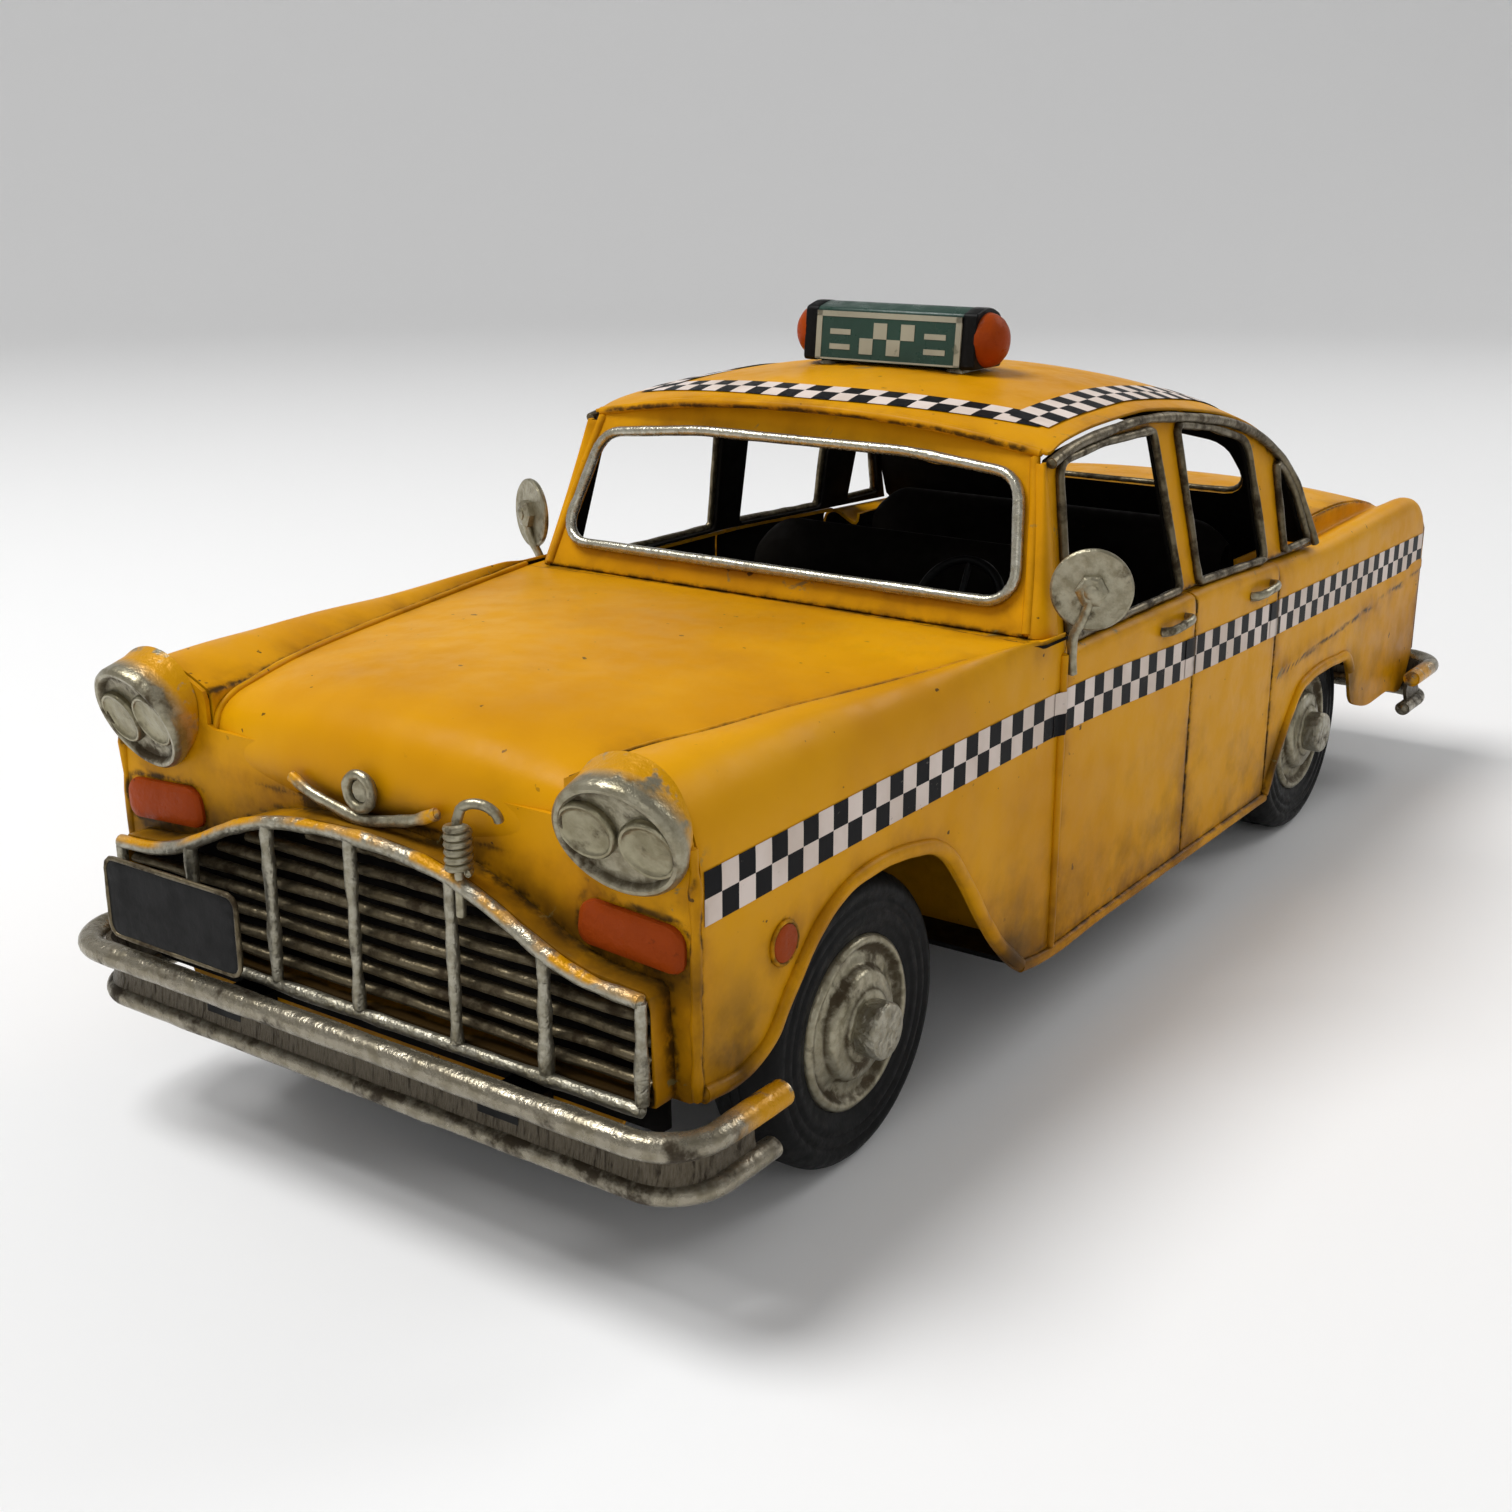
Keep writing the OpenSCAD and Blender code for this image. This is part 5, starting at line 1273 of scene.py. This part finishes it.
# ---------------------------------------------------------------- wheels
TYRE_IN, TYRE_OUT = 42.0, 56.0
tread = [[25, 47.4], [24.7, 47.6], [24.7, 47.9], [25, 48.1], [25, 49.4], [24.7, 49.6], [24.7, 49.9],
    [25, 50.1]]
inner_wall = [[15, 1], [15.8, 0.3], [17, 0], [20, 0.2], [22.5, 0.6], [23.8, 1.3], [24.6, 2.4], [25, 4]]
outer_wall = [[25, 3.4], [24.85, 2.4], [24.4, 1.5], [23.6, 0.6], [22.7, 0.12], [21.7, 0], [21.3, 0.35],
    [20.9, 0.4], [20.5, 0.1], [19.6, 0], [19.2, 0.35], [18.8, 0.38], [18.4, 0.1], [17.2, 0.15],
    [16.9, 0.45], [16.3, 0.5], [15.6, 0.7], [15, 0.9], [14.85, 1.6]]
tyre_profile = [[r, TYRE_IN + d] for r, d in inner_wall] + tread
tyre_profile += [[r, TYRE_OUT - d] for r, d in outer_wall] + [[14.85, TYRE_IN + 1.4], [15, TYRE_IN + 1]]
hub_profile = [[1.6, 38], [3.2, 38], [3.2, 53.9], [8, 53.6], [9.2, 53.3], [12.6, 53.2], [13.9, 53.6],
    [13.9, TYRE_IN + 2], [14.8, TYRE_IN + 2], [14.9, 52.4], [14.95, 54.6], [14.8, 55.5], [14.3, 56.0],
    [13.7, 56.1], [13.2, 55.7], [12.9, 55.0], [12.4, 54.75], [11.4, 54.85], [10.2, 55.1], [9.7, 55.35],
    [9.35, 56.2], [9.0, 56.7], [8.6, 56.9], [7.6, 57.0], [6.6, 57.1], [6.2, 57.4], [5.9, 57.75],
    [5.3, 57.85], [1.6, 57.85]]
rod_half = [[1.6, 33.2], [3, 33.4], [3, 35], [1.6, 35.2], [1.6, 57.9], [0, 57.9]]
cap_profile = [[1.6, 57.7], [4.8, 57.7], [4.85, 59.8], [4.8, 61.0], [4.5, 61.4], [3.9, 61.55],
    [2.0, 61.6], [1.0, 61.45], [0, 61.5]]


def hub_form(put):
    """The pressed disc, with stamped dimples round the dish and a hand-beaten face."""
    def beaten(p):
        r, a = np.hypot(p[:, 0], p[:, 1]), np.arctan2(p[:, 1], p[:, 0])
        face = p[:, 2] > 54
        dimple = 0.5 * np.clip(np.sin(5 * a), 0, 1) ** 2 * (face & (r > 10) & (r < 12.7))
        beat = (0.09 * np.sin(3 * a + r) + 0.06 * np.sin(7 * a - 2 * r)) * face
        return put(np.column_stack([p[:, :2], p[:, 2] - dimple + beat]))
    return lathe(hub_profile, beaten, 120)


def hub_groove(y):
    def worn(at):
        r = np.hypot(at[:, 1] - y, at[:, 2] - AXLE_Z)
        lines = sum(np.exp(-((r - c) / w) ** 2) for c, w in ((13.0, 0.5), (12.2, 0.6), (9.7, 0.35),
            (6.3, 0.3), (4.9, 0.3)))
        return {"groove": np.clip(lines, 0, 1)}
    return worn


for label, y in (("front", FRONT_AXLE_Y), ("rear", REAR_AXLE_Y)):
    body = f"{label}_wheelset"
    put = facing_left(0, y, AXLE_Z)
    piece(f"{label}_tyre_rings", both(lathe(tyre_profile, put, 128)), [TYRE], [f"{label}_tyres"],
        body=body, sharp=50)
    piece(f"{label}_hub_discs", both(hub_form(put)), [TRIM], [f"{label}_hubs"], body=body,
        extra=hub_groove(y), sharp=60)
    rod = lathe([[r, -h] for r, h in rod_half[::-1]] + rod_half, put, 40)
    piece(f"{label}_axle_rod", [rod] + both(lathe(cap_profile, put, 56)), [WELD], [f"{label}_axle"],
        "steel", body)

# ---------------------------------------------------------------- CAD nodes that stay
for name, mat in (("floor_pan", BLACK), ("bumper_brackets", BLACK), ("axle_brackets", STEEL),
    ("motor_frame", STEEL), ("drive_gear", BRASS), ("idler_gear", BRASS), ("flywheel", STEEL)):
    for slot in NODES[name].material_slots:
        slot.material = mat

# ---------------------------------------------------------------- floor, light, camera
floor_mat, floor_tree, floor_bsdf = new_material("studio_floor")
feed(floor_tree, floor_bsdf, {"Base Color": rgb(0.86, 0.86, 0.86), "Roughness": 0.8})
bowl = [[0.0, 0.0], [0.6, 0.0], [1.2, 0.0], [1.5, 0.0]]
bowl += [[1.5 + 0.7 * sin(a), 0.7 * (1 - cos(a))] for a in np.radians(np.linspace(8, 90, 14))]
bowl += [[2.2, 1.9]]
verts, faces = lathe(np.array(bowl), lambda p: p, 96)
floor_mesh = bpy.data.meshes.new("floor")
floor_mesh.from_pydata(verts.tolist(), [], faces)
floor_mesh.polygons.foreach_set("use_smooth", [True] * len(floor_mesh.polygons))
floor_mesh.materials.append(floor_mat)
in_scene("floor", floor_mesh)

world = bpy.data.worlds.new("studio")
bpy.context.scene.world = world
world.use_nodes = True
feed(world.node_tree, world.node_tree.nodes["Background"], {"Color": rgb(1, 1, 1), "Strength": 0.2})


def area_light(name, at, target, size, power):
    data = bpy.data.lights.new(name, "AREA")
    data.size, data.energy, data.shape = size, power, "DISK"
    obj = in_scene(name, data)
    obj.location = at
    obj.rotation_euler = (Vector(target) - Vector(at)).to_track_quat("-Z", "Y").to_euler()


area_light("key", (-0.55, -0.5, 1.45), (0, -0.05, 0.05), 0.8, 21)
area_light("fill", (0.7, -1.1, 0.9), (0, 0, 0.05), 0.9, 1.5)
area_light("back", (0.5, 1.2, 1.0), (0, 0, 0.08), 0.8, 6)

camera_data = bpy.data.cameras.new("camera")
camera_data.sensor_width, camera_data.lens = 36.0, 45.49
camera_data.clip_start = 0.01
camera = in_scene("camera", camera_data)
CAMERA_AT = Vector((0.2047, -0.3509, 0.1595))
YAW, PITCH = radians(35.14), radians(17.5)
look = Vector((-sin(YAW) * cos(PITCH), cos(YAW) * cos(PITCH), -sin(PITCH)))
camera.location = CAMERA_AT
camera.rotation_euler = look.to_track_quat("-Z", "Y").to_euler()
bpy.context.scene.camera = camera
bpy.context.scene.view_settings.view_transform = "Standard"
